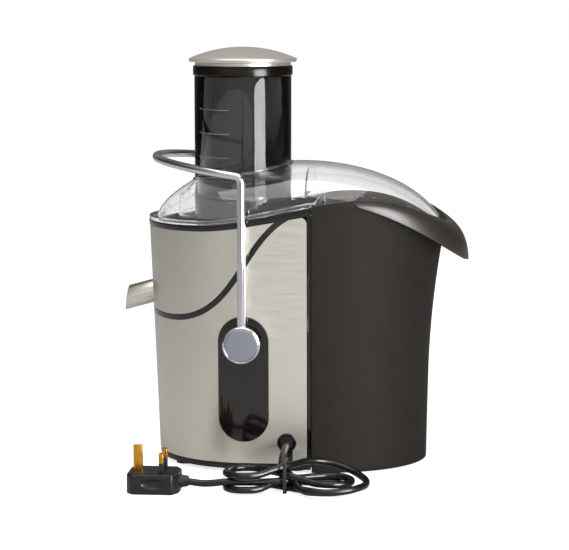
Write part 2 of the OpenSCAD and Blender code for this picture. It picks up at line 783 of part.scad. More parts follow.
module pusher_cap() color([0.6, 0.58, 0.53]) at_spin() {
    z0 = collar_z + collar_h;
    rim_z = z0 + 3.4;
    rise = overall_h - rim_z - 3.2;
    ball = (cap_r * cap_r + rise * rise) / (2 * rise);
    ring(45, 0, z0, rim_z);
    ring(cap_r - 0.7, 0, rim_z, rim_z + 1);
    ring(cap_r, 0, rim_z + 1, rim_z + 3.2);
    intersection() {
        translate([0, 0, overall_h - ball]) sphere(r = ball, $fn = 180);
        ring(cap_r, 0, rim_z + 3.2, overall_h + 1);
    }
}

// ---- pulp bin ----
bin_gap = 0.6;      // between the bin and the housing
// One level of the bin's wall: share is 0 at the worktop and 1 at the arched rim
function bin_ring(share, inset, floor_z) = [for (a = [-90:7.5:90]) let (
        top = bin_rim(seam_d + bin_reach(226) * cos(a)),
        z = floor_z + share * (top - floor_z))
    [seam_d + bin_gap + inset + (bin_reach(z) - bin_gap - 2 * inset) * cos(a),
        (body_r(z) - inset) * sin(a), z]];
function brim_section(a) = let (
        root = [seam_d + (bin_reach(226) - 1.5) * cos(a), (body_r(240) - 1.5) * sin(a)],
        tip = [seam_d + brim_len * cos(a), (body_r(240) + 0.5) * sin(a)],
        top = bin_rim(seam_d + bin_reach(226) * cos(a)),
        low = min(top - 1.2, crease(tip[0])))
    concat([for (i = [0:6]) let (s = sin(15 * i), c = cos(15 * i))
            [root[0] + (tip[0] - root[0]) * s, root[1] + (tip[1] - root[1]) * s,
                low + (top - 0.5 - low) * c]],
        [for (i = [6:-1:0]) let (s = sin(15 * i), c = cos(15 * i))
            [root[0] + (tip[0] - root[0] - 2) * s, root[1] + (tip[1] - root[1]) * s * 0.98,
                low - 2.9 + (top - low) * c]]);

module pulp_bin() color([0.22, 0.2, 0.19]) at_core() {
    levels = [0, 0.15, 0.35, 0.5, 0.62, 0.74, 0.84, 0.92, 1];
    difference() {
        skin(concat([for (s = levels) bin_ring(s, 0, 0.6)],
            [for (i = [8:-1:0]) bin_ring(levels[i], bin_t, 3.5)]));
        // way in for the pulp, and a lowered top edge that clears the lid's sides
        translate([seam_d - 2, -50, 200]) cube([8, 100, 80]);
        translate([seam_d - 2, -93.5, 234]) cube([6, 187, 80]);
    }
}

// The brim is moulded in one with the bin; here it is its own simple shell
module bin_brim() color([0.22, 0.2, 0.19]) at_core() skin([for (a = [-73:7.3:73]) brim_section(a)]);

// ---- mains cord ----
// Route points in the part's own frame, in millimetres
drop_route = [[-1, -80, 28.4], [-1, -94, 28.4], [-1, -107, 27.2], [-1.5, -120, 24.8],
    [-1.5, -133, 21.5], [0, -146, 18]];
tail_route = [[-48, -169, 9.6], [-58, -168.4, 8.2], [-68, -167.4, 7.4], [-78, -166.4, 8.2], [-88, -166, 9]];

module tube(route, d, sides, across) {
    last = len(route) - 1;
    skin([for (i = [0:last]) let (
            dir = route[min(last, i + 1)] - route[max(0, i - 1)],
            u = cross(dir, across) / norm(cross(dir, across)),
            v = cross(dir, u) / norm(cross(dir, u)))
        [for (k = [0:sides - 1]) route[i] + d / 2 * (cos(360 * k / sides) * u + sin(360 * k / sides) * v)]]);
}

module cord_drop() color([0.06, 0.06, 0.06]) tube(drop_route, cord_d, 10, [1, 0, 0]);
module cord_tail() color([0.06, 0.06, 0.06]) tube(tail_route, cord_d, 10, [0, 0, 1]);

// The tied hank: two lobes and a waist, where the tie holds it
tie_x = 4;
tie_y = -158;
waist = 11;
hank_low = 0.2;
hank_high = 26;
module cord_hank() color([0.08, 0.08, 0.08]) {
    translate([0, 0, hank_low]) linear_extrude(hank_high - hank_low) polygon(concat(
        [for (a = [-130:10:130]) [44 + 35 * cos(a), tie_y + 35 * sin(a)]],
        [[tie_x + 2, tie_y + waist], [tie_x - 2, tie_y + waist]],
        [for (a = [60:10:300]) [-30 + 22.5 * cos(a), tie_y + 22.5 * sin(a)]],
        [[tie_x - 2, tie_y - waist], [tie_x + 2, tie_y - waist]]));
}

module cord_tie() color([0.1, 0.1, 0.1]) difference() {
    translate([tie_x - 1.5, tie_y - waist - 1.2, 0]) cube([3, 2 * waist + 2.4, hank_high + 1.2]);
    translate([tie_x - 4, tie_y - waist, hank_low]) cube([8, 2 * waist, hank_high - hank_low]);
}

// ---- plug ----
plug_x = -111;      // middle of the plug
plug_y = -166;
module plug_shape(grow, z0, z1) {
    translate([plug_x, plug_y, z0]) linear_extrude(z1 - z0) polygon([
        [-23 - grow, -14 - grow], [-18 - grow, -19.5 - grow], [18 + grow, -19.5 - grow], [23 + grow, -10],
        [23 + grow, 10], [18 + grow, 19.5 + grow], [-18 - grow, 19.5 + grow], [-23 - grow, 14 + grow]]);
}

// Pin positions from the plug's middle: earth, then the two line pins
earth_at = [-14.6, 0];
line_at = [7.6, 11.1];
pin_root = plug_h - 2.5;
module line_pins() { for (s = [-1, 1]) translate([plug_x + line_at[0], plug_y + s * line_at[1], 0]) children(); }

module plug_body() color([0.06, 0.06, 0.06]) {
    difference() {
        union() {
            plug_shape(0, 0, plug_h - 2.5);
            plug_shape(-0.8, plug_h - 2.5, plug_h);
            translate([plug_x + 22, plug_y, 9]) rotate([0, 90, 0]) cylinder(h = 8, r = 5.5, $fn = small_fn);
        }
        translate([plug_x + 21, plug_y, 9]) rotate([0, 90, 0]) cylinder(h = 12, r = cord_d / 2, $fn = small_fn);
        translate([plug_x + earth_at[0] - 4, plug_y - 2, pin_root]) cube([8, 4, 40]);
        line_pins() translate([-2, -3.2, pin_root]) cube([4, 6.4, 40]);
    }
}

module plug_pins() color("goldenrod") {
    translate([plug_x + earth_at[0] - 4, plug_y - 2, pin_root]) cube([8, 4, 2.5 + 22.7]);
    line_pins() {
        translate([-1.4, -2.6, pin_root]) cube([2.8, 5.2, 11.5]);
        translate([-2, -3.2, plug_h + 9]) cube([4, 6.4, 8.7]);
    }
}

module pin_sleeves() color([0.06, 0.06, 0.06]) line_pins() difference() {
    translate([-2, -3.2, pin_root]) cube([4, 6.4, 11.5]);
    translate([-1.4, -2.6, 0]) cube([2.8, 5.2, 60]);
}

rubber_feet();
base_plate();
base_screws();
motor_housing();
upper_housing();
upper_steel_wrap();
lower_steel_wrap();
side_panel_front();
side_panel_back();
pivot_bushes();
cord_bezel();
cord_clamp();
terminal_block();
rotary_switch();
thermal_cutout();
interlock_switch();
internal_leads();
stator_core();
field_coils();
upper_motor_bracket();
lower_motor_bracket();
bearings();
brush_holders();
carbon_brushes();
motor_mounts();
shaft_seal();
juice_bowl();
juice_spout();
motor_shaft();
rotor_core();
rotor_windings();
commutator();
cooling_fan();
drive_coupling();
basket_hub();
basket_frame();
filter_mesh();
grater_disc();
bail_rod();
pivot_caps();
pivot_cap_discs();
pivot_pins();
interlock_plunger();
control_knob();
knob_spindle();
clear_lid();
feed_tube();
lid_seal();
pusher_body();
pusher_collar();
pusher_cap();
pulp_bin();
bin_brim();
cord_drop();
cord_hank();
cord_tail();
cord_tie();
plug_body();
plug_pins();
pin_sleeves();
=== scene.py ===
# %% [markdown]
# A centrifugal juicer: a steel-wrapped motor housing, a clear lid with its feed tube and pusher, a bail that
# locks the lid down, a pulp bin and a tied mains cord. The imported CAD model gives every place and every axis.
# This notebook builds the visible surfaces round it, one real piece at a time, mostly with the same operators
# that a person uses in edit mode.

# %% Load the frame
import bpy
from math import asin, atan2, cos, pi, radians, sin, sqrt, tan
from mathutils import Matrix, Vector


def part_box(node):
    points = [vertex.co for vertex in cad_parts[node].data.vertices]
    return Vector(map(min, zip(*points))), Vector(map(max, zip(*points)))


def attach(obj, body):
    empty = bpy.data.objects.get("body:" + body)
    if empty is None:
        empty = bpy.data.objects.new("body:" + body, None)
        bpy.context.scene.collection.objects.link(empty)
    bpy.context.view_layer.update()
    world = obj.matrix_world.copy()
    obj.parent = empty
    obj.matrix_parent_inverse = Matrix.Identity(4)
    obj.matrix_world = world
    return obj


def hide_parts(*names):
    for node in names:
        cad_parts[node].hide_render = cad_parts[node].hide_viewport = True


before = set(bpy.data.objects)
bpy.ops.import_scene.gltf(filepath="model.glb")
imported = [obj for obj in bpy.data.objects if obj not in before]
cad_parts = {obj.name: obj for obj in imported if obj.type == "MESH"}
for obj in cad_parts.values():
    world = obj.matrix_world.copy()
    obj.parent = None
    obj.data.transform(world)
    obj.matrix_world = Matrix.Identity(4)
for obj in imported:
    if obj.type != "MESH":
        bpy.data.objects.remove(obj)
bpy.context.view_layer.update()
MM = 0.001

# %% [markdown]
# The camera is a long lens almost two metres away, a little above the lid and five degrees to the right of the
# side view, so that upright edges stay nearly parallel, as in a catalogue picture.

# %% Camera
view_turn = radians(5.0)
view_dip = radians(7.3)
camera_spot = Vector((0.158, -1.930, 0.4194))
camera_aim = Vector((-sin(view_turn) * cos(view_dip), cos(view_turn) * cos(view_dip), -sin(view_dip)))
bpy.ops.object.camera_add(location=camera_spot)
camera = bpy.context.object
camera.rotation_euler = camera_aim.to_track_quat("-Z", "Y").to_euler()
camera.data.lens = 130.6
camera.data.sensor_width = 36
bpy.context.scene.camera = camera
print("camera looks along", [round(v, 3) for v in camera_aim])

# %% [markdown]
# A product like this is lit for its metal and its clear plastic. The sky is white wherever the lid lets it
# show through, and it is darker to the left for reflections, which draws a soft upright shade on the rounded
# steel. One tall soft lamp on the right puts the long highlight on the pusher.

# %% Sky, floor and lamps
WHITE = (1.0, 1.0, 1.0, 1.0)


def wire(nodes, links, kind, **sockets):
    """A new node, its inputs set to a value or joined to another node's output. i2 means the input numbered 2."""
    made = nodes.new(kind)
    for name, value in sockets.items():
        socket = made.inputs[int(name[1:])] if name[0] == "i" and name[1:].isdigit() else made.inputs[name]
        if isinstance(value, bpy.types.NodeSocket):
            links.new(value, socket)
        else:
            socket.default_value = value
    return made


def seen_directly(nodes, links):
    """1 on a ray from the eye or one that has come through clear plastic, and 0 on any other."""
    ray = nodes.new("ShaderNodeLightPath")
    either = wire(nodes, links, "ShaderNodeMath", i0=ray.outputs["Is Camera Ray"],
                  i1=ray.outputs["Is Transmission Ray"])
    either.operation = "MAXIMUM"
    return either.outputs[0]


def studio_sky():
    world = bpy.data.worlds.new("studio_sky")
    world.use_nodes = True
    bpy.context.scene.world = world
    nodes, links = world.node_tree.nodes, world.node_tree.links
    nodes.clear()
    way = nodes.new("ShaderNodeTexCoord")
    split = wire(nodes, links, "ShaderNodeSeparateXYZ", Vector=way.outputs["Generated"])
    across = wire(nodes, links, "ShaderNodeMapRange", i0=split.outputs["X"], i1=-1.0, i2=1.0)
    grey = wire(nodes, links, "ShaderNodeValToRGB", Fac=across.outputs[0])
    stops = grey.color_ramp.elements
    stops[0].position, stops[1].position = 0.02, 0.96
    stops[0].color, stops[1].color = (0.06, 0.06, 0.06, 1), (0.10, 0.10, 0.10, 1)
    for place, level in ((0.13, 0.34), (0.27, 0.84), (0.72, 0.90), (0.84, 0.30)):
        stop = stops.new(place)
        stop.color = (level, level, level, 1)
    low_sky = wire(nodes, links, "ShaderNodeMapRange", i0=split.outputs["Z"], i1=0.02, i2=0.18, i3=0.12, i4=0.24)
    behind = wire(nodes, links, "ShaderNodeMapRange", i0=split.outputs["Y"], i1=0.0, i2=0.45, i3=1.0,
                  i4=low_sky.outputs[0])
    above = wire(nodes, links, "ShaderNodeMapRange", i0=split.outputs["Z"], i1=0.35, i2=0.85, i3=1.0, i4=0.7)
    both_ways = wire(nodes, links, "ShaderNodeMath", i0=behind.outputs[0], i1=above.outputs[0])
    both_ways.operation = "MULTIPLY"
    lit = wire(nodes, links, "ShaderNodeBackground", Color=grey.outputs[0], Strength=both_ways.outputs[0])
    clean = wire(nodes, links, "ShaderNodeBackground", Color=WHITE, Strength=1.0)
    both = wire(nodes, links, "ShaderNodeMixShader", i0=seen_directly(nodes, links), i1=lit.outputs[0],
                i2=clean.outputs[0])
    wire(nodes, links, "ShaderNodeOutputWorld", Surface=both.outputs[0])


def soft_lamp(name, spot, aim, size, watts):
    bpy.ops.object.light_add(type="AREA", location=spot)
    lamp = bpy.context.object
    lamp.name = name
    lamp.data.shape = "RECTANGLE"
    lamp.data.size, lamp.data.size_y = size
    lamp.data.energy = watts
    lamp.rotation_euler = (Vector(aim) - Vector(spot)).to_track_quat("-Z", "Y").to_euler()
    return lamp


studio_sky()
bpy.context.scene.view_settings.view_transform = "Standard"
soft_lamp("overhead_soft", (0.0, -0.4, 1.9), (0, 0, 0.1), (1.8, 1.8), 20)
sheen = soft_lamp("sheen_card", (1.28, -1.24, 0.52), (0, 0, 0.25), (0.85, 1.1), 74)
sheen.visible_diffuse = False

# %% [markdown]
# ## Finishes
# A material is a short recipe: one Principled shader, and noise on Object coordinates that varies its colour,
# its roughness or its bump. Object coordinates are metres here, so a noise scale of 1000 makes millimetre grain.


# %% Material helpers
def rgb(hex_code):
    """A screen colour such as 'B8B2A0' as the linear colour that a shader takes."""
    parts = [int(hex_code[i:i + 2], 16) / 255 for i in (0, 2, 4)]
    return (*[p / 12.92 if p < 0.04045 else ((p + 0.055) / 1.055) ** 2.4 for p in parts], 1.0)


def blank(name, **settings):
    """A material with one Principled shader, and the shader's constants."""
    material = bpy.data.materials.new(name)
    material.use_nodes = True
    shader = material.node_tree.nodes["Principled BSDF"]
    for socket, value in settings.items():
        shader.inputs[socket.replace("_", " ")].default_value = value
    return material


def grain(material, scale, stretch=(1, 1, 1), detail=4.0):
    """Noise that lies in the piece: stretch above 1 packs it closer along that axis."""
    nodes, links = material.node_tree.nodes, material.node_tree.links
    place = nodes.new("ShaderNodeTexCoord")
    squeeze = wire(nodes, links, "ShaderNodeMapping", Vector=place.outputs["Object"], Scale=stretch)
    return wire(nodes, links, "ShaderNodeTexNoise", Vector=squeeze.outputs[0], Scale=scale, Detail=detail)


def tint(material, noise, dark, light, spread=0.3):
    """The noise picks a colour between dark and light."""
    nodes, links = material.node_tree.nodes, material.node_tree.links
    ramp = wire(nodes, links, "ShaderNodeValToRGB", Fac=noise.outputs["Fac"])
    ramp.color_ramp.elements[0].position = 0.5 - spread
    ramp.color_ramp.elements[1].position = 0.5 + spread
    ramp.color_ramp.elements[0].color, ramp.color_ramp.elements[1].color = dark, light
    links.new(ramp.outputs[0], nodes["Principled BSDF"].inputs["Base Color"])


def polish(material, noise, low, high):
    """The noise varies the roughness from low to high."""
    nodes, links = material.node_tree.nodes, material.node_tree.links
    band = wire(nodes, links, "ShaderNodeMapRange", i0=noise.outputs["Fac"], i1=0.3, i2=0.7, i3=low, i4=high)
    links.new(band.outputs[0], nodes["Principled BSDF"].inputs["Roughness"])


def relief(material, noise, depth_mm, strength=0.5):
    """The noise raises and lowers the surface by about depth_mm."""
    nodes, links = material.node_tree.nodes, material.node_tree.links
    bump = wire(nodes, links, "ShaderNodeBump", Height=noise.outputs["Fac"], Distance=depth_mm * MM,
                Strength=strength)
    links.new(bump.outputs[0], nodes["Principled BSDF"].inputs["Normal"])


def moulded(name, dark, light, rough, gloss=0.5, grain_mm=1.0, depth_mm=0.02, coat=0.0):
    """Moulded plastic or rubber: a slight mottle, and a fine texture from the mould."""
    made = blank(name, Specular_IOR_Level=gloss, Coat_Weight=coat, Coat_Roughness=0.08)
    tint(made, grain(made, 60), rgb(dark), rgb(light))
    fine = grain(made, 1000 / grain_mm)
    polish(made, fine, rough * 0.85, rough * 1.2)
    relief(made, fine, depth_mm)
    return made


def metal(name, dark, light, rough, stretch=(1, 1, 1), scale=300, depth_mm=0.004, coat=0.0, metallic=1.0):
    """Metal: colour and roughness follow the lines that its finish leaves."""
    made = blank(name, Metallic=metallic, Coat_Weight=coat)
    lines = grain(made, scale, stretch)
    tint(made, lines, rgb(dark), rgb(light))
    polish(made, lines, rough * 0.8, rough * 1.25)
    relief(made, lines, depth_mm)
    return made


def clear(name, dark, light, rough, index=1.49, gloss=0.25):
    """Clear moulded plastic. Rays that carry shadow pass straight through, so it doesn't shade what it covers."""
    made = blank(name, Transmission_Weight=1.0, IOR=index, Specular_IOR_Level=gloss)
    tint(made, grain(made, 25), rgb(dark), rgb(light))
    polish(made, grain(made, 120), rough * 0.7, rough * 1.3)
    nodes, links = made.node_tree.nodes, made.node_tree.links
    ray = nodes.new("ShaderNodeLightPath")
    passing = wire(nodes, links, "ShaderNodeBsdfTransparent", Color=rgb(light))
    choose = wire(nodes, links, "ShaderNodeMixShader", i0=ray.outputs["Is Shadow Ray"],
                  i1=nodes["Principled BSDF"].outputs[0], i2=passing.outputs[0])
    links.new(choose.outputs[0], nodes["Material Output"].inputs["Surface"])
    return made


# %% [markdown]
# The steel wraps are champagne-toned and brushed round the body, so the noise is packed sixty times closer
# along Z than along the sheet. The black trim and the side panels are glossy, the bin has a fine dull texture,
# and the pusher is smoked plastic.

# %% Finishes of the pieces
finish = {
    "steel": metal("brushed_champagne_steel", "D2CEC2", "D9D5CA", 0.36, (0.03, 0.03, 2.2), 1500, 0.002),
    "spout": metal("satin_steel", "D6D1C4", "E0DBCE", 0.26, (1, 1, 0.15), 1200, 0.001),
    "bright": metal("machined_steel", "A9A9A8", "D2D2D0", 0.22, (1, 1, 0.05), 700),
    "laminated": metal("laminated_core_steel", "5C6068", "868B92", 0.42, (0.01, 0.01, 3.0), 600, 0.02),
    "chrome": metal("polished_chrome", "CFD2D6", "DDDFE2", 0.04, (1, 1, 1), 40, 0.0005),
    "satin": metal("satin_disc_metal", "9498A2", "9EA2AC", 0.34, (1, 1, 1), 2500, 0.0005),
    "cap": metal("champagne_nickel", "DDDACE", "E3E0D6", 0.30, (1, 1, 1), 2500, 0.0005, 0.0, 0.55),
    "brass": metal("brass", "B98A33", "E0B65C", 0.24, (1, 1, 0.1), 500),
    "pin_brass": metal("plug_pin_brass", "B27A22", "E2A945", 0.30, (1, 1, 0.3), 420, 0.012),
    "winding": metal("enamelled_copper_wire", "7C3716", "B8622C", 0.30, (0.15, 0.15, 2.5), 650, 0.08),
    "alloy": metal("cast_alloy", "83858A", "A7A9AD", 0.50, (1, 1, 1), 500, 0.03),
    "mesh": metal("woven_steel_mesh", "8E9297", "C8CBD0", 0.30, (1, 1, 1), 1600, 0.15),
    "black": moulded("glossy_black_housing", "0A0908", "12100E", 0.12, 0.45, 2.0, 0.002, 0.3),
    "band": moulded("base_band_plastic", "12110F", "1C1A18", 0.34, 0.4, 1.2, 0.01),
    "panel": moulded("panel_gloss_brown", "14100D", "1C1713", 0.10, 0.45, 3.0, 0.001, 0.3),
    "bin": moulded("textured_bin_plastic", "34302A", "39352F", 0.62, 0.10, 0.7, 0.012),
    # The brim is the bin's plastic, a little glossier, with its colour painted a few shades lighter than the
    # bin's: painted light for the light on its upper face.
    "brim": moulded("brim_plastic_painted_lighter", "3C3730", "433E37", 0.34, 0.40, 0.9, 0.006),
    "bowl": moulded("juice_bowl_plastic", "121112", "1B1A1B", 0.20, 0.5, 2.5, 0.004, 0.2),
    "collar": moulded("collar_brown", "15110E", "1D1915", 0.18, 0.25, 2.0, 0.003),
    "smoked": moulded("smoked_pusher_plastic", "060405", "0B0808", 0.05, 0.20, 3.0, 0.0005),
    "natural": moulded("natural_nylon", "CFCBBD", "E4E1D6", 0.42, 0.5, 1.0, 0.02),
    "dark": moulded("dark_moulding", "1B1B1D", "29292C", 0.40, 0.5, 1.0, 0.02),
    "rubber": moulded("soft_rubber", "141414", "242424", 0.70, 0.3, 0.8, 0.05),
    "carbon": moulded("pressed_carbon", "1A1A1C", "2E2E31", 0.60, 0.3, 0.5, 0.06),
    "cord": moulded("cord_sheath", "050505", "0C0C0C", 0.30, 0.5, 1.4, 0.01),
    "plug": moulded("plug_moulding", "0C0C0D", "171718", 0.33, 0.45, 0.8, 0.015),
    "lead": moulded("lead_insulation", "5B2A14", "8C4A22", 0.40, 0.5, 1.2, 0.02),
    "lid": clear("clear_lid_plastic", "FBFCFD", "FFFFFF", 0.012),
    "tube": clear("clear_tube_plastic", "FCFDFE", "FFFFFF", 0.01, 1.3, 0.1),
}
print(len(finish), "finishes")

# %% [markdown]
# The floor is a plain pale sheet, large enough that its edge is never seen.

# %% Floor
bpy.ops.mesh.primitive_plane_add(size=60, location=(0, 0, 0))
floor = bpy.context.object
floor.name = "pale_floor"
paper = moulded("pale_paper", "E9E9E9", "EEEEEE", 0.85, 0.1, 3.0, 0.01)
nodes, links = paper.node_tree.nodes, paper.node_tree.links
shine = wire(nodes, links, "ShaderNodeEmission", Color=WHITE, Strength=0.75)
lifted = wire(nodes, links, "ShaderNodeAddShader", i0=nodes["Principled BSDF"].outputs[0], i1=shine.outputs[0])
chosen = wire(nodes, links, "ShaderNodeMixShader", i0=seen_directly(nodes, links),
              i1=nodes["Principled BSDF"].outputs[0], i2=lifted.outputs[0])
links.new(chosen.outputs[0], nodes["Material Output"].inputs["Surface"])
floor.data.materials.append(paper)

# %% [markdown]
# ## The mains cord
# The cord leaves the housing through a keyhole outlet, drops to the worktop and is tied in a figure of eight.
# Each lobe of the eight is an arc with two straight ends that meet at the tie. A bend can't be tighter than
# about three diameters, so the small lobes have an 18.7 mm radius. At the tie the strands lie in rows a
# diameter apart, and each lobe has its own height, so the turns lie on each other and not in each other.

# %% Route of the cord
cord_d = 6.2
tie_x, tie_y = 4.0, -158.0
drop = [(-1, -80, 28.4), (-1, -94, 28.4), (-1, -107, 27.2), (-1.5, -120, 24.8), (-1.5, -133, 21.5),
        (0, -146, 18)]
tail = [(-15, -166.5, 9.6), (-32, -169.5, 9.6), (-48, -169, 9.6), (-58, -168.4, 8.2), (-68, -167.4, 7.4),
        (-78, -166.4, 8.2), (-88, -166, 9)]
crossings = [(15.8, 3.4), (22.0, 0.0), (15.8, -3.4), (9.6, 3.3), (3.4, 0.0), (9.6, -3.3)]  # height, lane
lobes = [  # side, distance of the arc's centre from the tie, radius, height at front, end and back
    (1, 40, 31, 5.5, 8.5, 22.3), (-1, 34, 18.7, 17.0, 15.9, 15.9), (1, 38, 20, 11.0, 9.8, 9.7),
    (-1, 34, 18.7, 4.4, 3.4, 3.4), (1, 36.5, 19, 3.4, 3.4, 4.2)]
ARC_POINTS = 9


def crossing(k):
    height, lane = crossings[k]
    lean = 0.5 if k % 2 == 0 else -0.5
    return (tie_x + lean * lane, tie_y + lane, height)


def lobe(side, reach, radius, front, end, back):
    """Points round one lobe, from the tie's front side round to its back."""
    half = pi / 2 + asin(radius / reach)
    points = []
    for i in range(ARC_POINTS):
        share = i / (ARC_POINTS - 1)
        turn = half * (2 * share - 1)
        near, far = (front, end) if share < 0.5 else (back, end)
        blend = sin(pi * share) ** 2
        points.append((tie_x + side * (reach + radius * cos(turn)), tie_y + radius * sin(turn),
                       near + (far - near) * blend))
    return points


def halfway(a, b):
    return tuple((p + q) / 2 for p, q in zip(a, b))


route = drop + [crossing(0)]
for k, shape in enumerate(lobes):
    turn_points = lobe(*shape)
    route += [halfway(route[-1], turn_points[0])] + turn_points
    route += [halfway(route[-1], crossing(k + 1)), crossing(k + 1)]
route += tail
print(len(route), "route points")

# %% [markdown]
# The route becomes a curve with a round section, smooth at every point, so it stays one strand.

# %% Cord, from its route
line = bpy.data.curves.new("mains_cord", "CURVE")
line.dimensions = "3D"
line.bevel_depth = cord_d / 2 * MM
line.bevel_resolution = 5
line.resolution_u = 8
line.use_fill_caps = True
strand = line.splines.new("BEZIER")
strand.bezier_points.add(len(route) - 1)
for knot, at in zip(strand.bezier_points, route):
    knot.co = Vector(at) * MM
    knot.handle_left_type = knot.handle_right_type = "AUTO"
cord = bpy.data.objects.new("mains_cord", line)
bpy.context.scene.collection.objects.link(cord)
cord.data.materials.append(finish["cord"])

# %% [markdown]
# ## Helpers for modelling
# Each helper is one habit of a person at work: start from nothing selected, draw a line point by point, spin
# it, push a face out, cut one form with another, round the edges, and smooth what is left. Lengths are in
# millimetres here and become metres when a point is placed.


# %% Selecting, drawing and finishing
def put_down():
    """Leave edit mode with nothing selected, because an operator acts on all that is selected."""
    if bpy.context.object and bpy.context.object.mode != "OBJECT":
        bpy.ops.object.mode_set(mode="OBJECT")
    bpy.ops.object.select_all(action="DESELECT")


def pick_up(piece):
    put_down()
    piece.select_set(True)
    bpy.context.view_layer.objects.active = piece
    return piece


def start_line(name, at):
    """A mesh of one point, in edit mode, ready to be extruded."""
    put_down()
    bpy.ops.mesh.primitive_plane_add(size=0.001)
    piece = bpy.context.object
    piece.name = piece.data.name = name
    bpy.ops.object.mode_set(mode="EDIT")
    bpy.ops.mesh.select_mode(type="VERT")
    bpy.ops.mesh.select_all(action="SELECT")
    bpy.ops.mesh.merge(type="CENTER")
    bpy.ops.transform.translate(value=Vector(at) * MM)
    return piece


def draw(name, points, closed=False):
    """A line through the points. A closed one is filled, as a face."""
    piece = start_line(name, points[0])
    for here, there in zip(points, points[1:]):
        step = (Vector(there) - Vector(here)) * MM
        bpy.ops.mesh.extrude_vertices_move(TRANSFORM_OT_translate={"value": step})
    bpy.ops.mesh.select_all(action="SELECT")
    if closed:
        bpy.ops.mesh.edge_face_add()
    return piece


def close_up(piece):
    """Merge doubled points and turn every face outwards."""
    pick_up(piece)
    bpy.ops.object.mode_set(mode="EDIT")
    bpy.ops.mesh.select_all(action="SELECT")
    bpy.ops.mesh.remove_doubles(threshold=1e-6)
    bpy.ops.mesh.normals_make_consistent(inside=False)
    put_down()
    return piece


def turned(name, section, centre=(0, 0, 0), axis="Z", steps=128):
    """A section of (radius, height) points, closed or ending on the axis, spun once round it, as on a lathe."""
    cx, cy, cz = centre
    if axis == "Z":
        points, way = [(cx + r, cy, cz + h) for r, h in section], (0, 0, 1)
    else:
        points, way = [(cx + r, cy + h, cz) for r, h in section], (0, 1, 0)
    open_at_axis = section[0][0] == 0 and section[-1][0] == 0
    piece = draw(name, points if open_at_axis else [*points, points[0]])
    bpy.ops.mesh.spin(steps=steps, angle=2 * pi, center=Vector(centre) * MM, axis=way)
    return close_up(piece)


def slab(name, outline, push):
    """A filled outline, pushed out along a direction."""
    piece = draw(name, outline, closed=True)
    bpy.ops.mesh.extrude_region_move(TRANSFORM_OT_translate={"value": Vector(push) * MM})
    return close_up(piece)


def side_slab(name, outline, half_width=200):
    """A side-view outline of (x, z) points, pushed right across the juicer."""
    return slab(name, [(x, -half_width, z) for x, z in outline], (0, 2 * half_width, 0))


def box_between(name, low, high):
    """A box between two opposite corners."""
    x0, y0, z0 = low
    x1, y1, z1 = high
    return slab(name, [(x0, y0, z0), (x1, y0, z0), (x1, y1, z0), (x0, y1, z0)], (0, 0, z1 - z0))


def placed(name):
    """The form just added, under its name, with its place and turn worked into its points."""
    piece = bpy.context.object
    piece.name = piece.data.name = name
    bpy.ops.object.transform_apply(location=True, rotation=True, scale=True)
    return piece


def copy_of(piece, name):
    put_down()
    twin = piece.copy()
    twin.data = piece.data.copy()
    twin.name = twin.data.name = name
    bpy.context.scene.collection.objects.link(twin)
    return twin


def apply_last(piece):
    pick_up(piece)
    bpy.ops.object.modifier_apply(modifier=piece.modifiers[-1].name)
    put_down()
    return piece


def carve(piece, tool, how="DIFFERENCE", keep_tool=False):
    """Cut one closed form with another, join them, or keep what they share."""
    cut = piece.modifiers.new("carve", "BOOLEAN")
    cut.operation, cut.object, cut.solver = how, tool, "EXACT"
    apply_last(piece)
    if not keep_tool:
        bpy.data.objects.remove(tool)
    return piece


def round_edges(piece, width, segments=3, angle=30):
    """Round every edge that is sharper than the angle."""
    edge = piece.modifiers.new("round", "BEVEL")
    edge.width, edge.segments, edge.limit_method = width * MM, segments, "ANGLE"
    edge.angle_limit = radians(angle)
    edge.use_clamp_overlap = True
    return apply_last(piece)


def thicken(piece, thickness):
    """Give a sheet a wall, grown inwards from its outer face."""
    wall = piece.modifiers.new("wall", "SOLIDIFY")
    wall.thickness, wall.offset, wall.use_even_offset = thickness * MM, -1, True
    return apply_last(piece)


def smooth(piece, angle=32):
    pick_up(piece)
    bpy.ops.object.shade_smooth_by_angle(angle=radians(angle))
    put_down()
    return piece


def soften(piece, width, segments):
    """Round the edges of a form by a width and smooth-shade the rest."""
    return smooth(round_edges(piece, width, segments, 40), 40)


def formed(name, across, along, place):
    """A flat grid, pulled into a shape point by point: place(u, v) gives millimetres, u and v run from 0 to 1."""
    put_down()
    bpy.ops.mesh.primitive_grid_add(x_subdivisions=across, y_subdivisions=along, size=1)
    sheet = bpy.context.object
    sheet.name = sheet.data.name = name
    for point in sheet.data.vertices:
        point.co = Vector(place(min(max(point.co.x + 0.5, 0), 1), min(max(point.co.y + 0.5, 0), 1))) * MM
    return close_up(sheet)


def done(piece, body, material, slot, *nodes):
    """Give a finished piece its finish and its body, and hide the CAD nodes that it stands for. The slot argument
    is not used.
    """
    piece.data.materials.clear()
    piece.data.materials.append(finish[material])
    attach(piece, body)
    if nodes:
        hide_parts(*nodes)
    print(f"{piece.name}: {len(piece.data.polygons)} faces, rides on {body}")
    return piece


# %% [markdown]
# ## Measures taken from the frame
# The spin axis is the middle of the pusher. The housing's round end is centred 9 mm from it, and everything
# that follows the housing is worked out from there, with its walls leaning out 4 mm in every 100.

# %% Driving measures
def middle_of(node):
    low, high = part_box(node)
    return (low + high) / 2 / MM


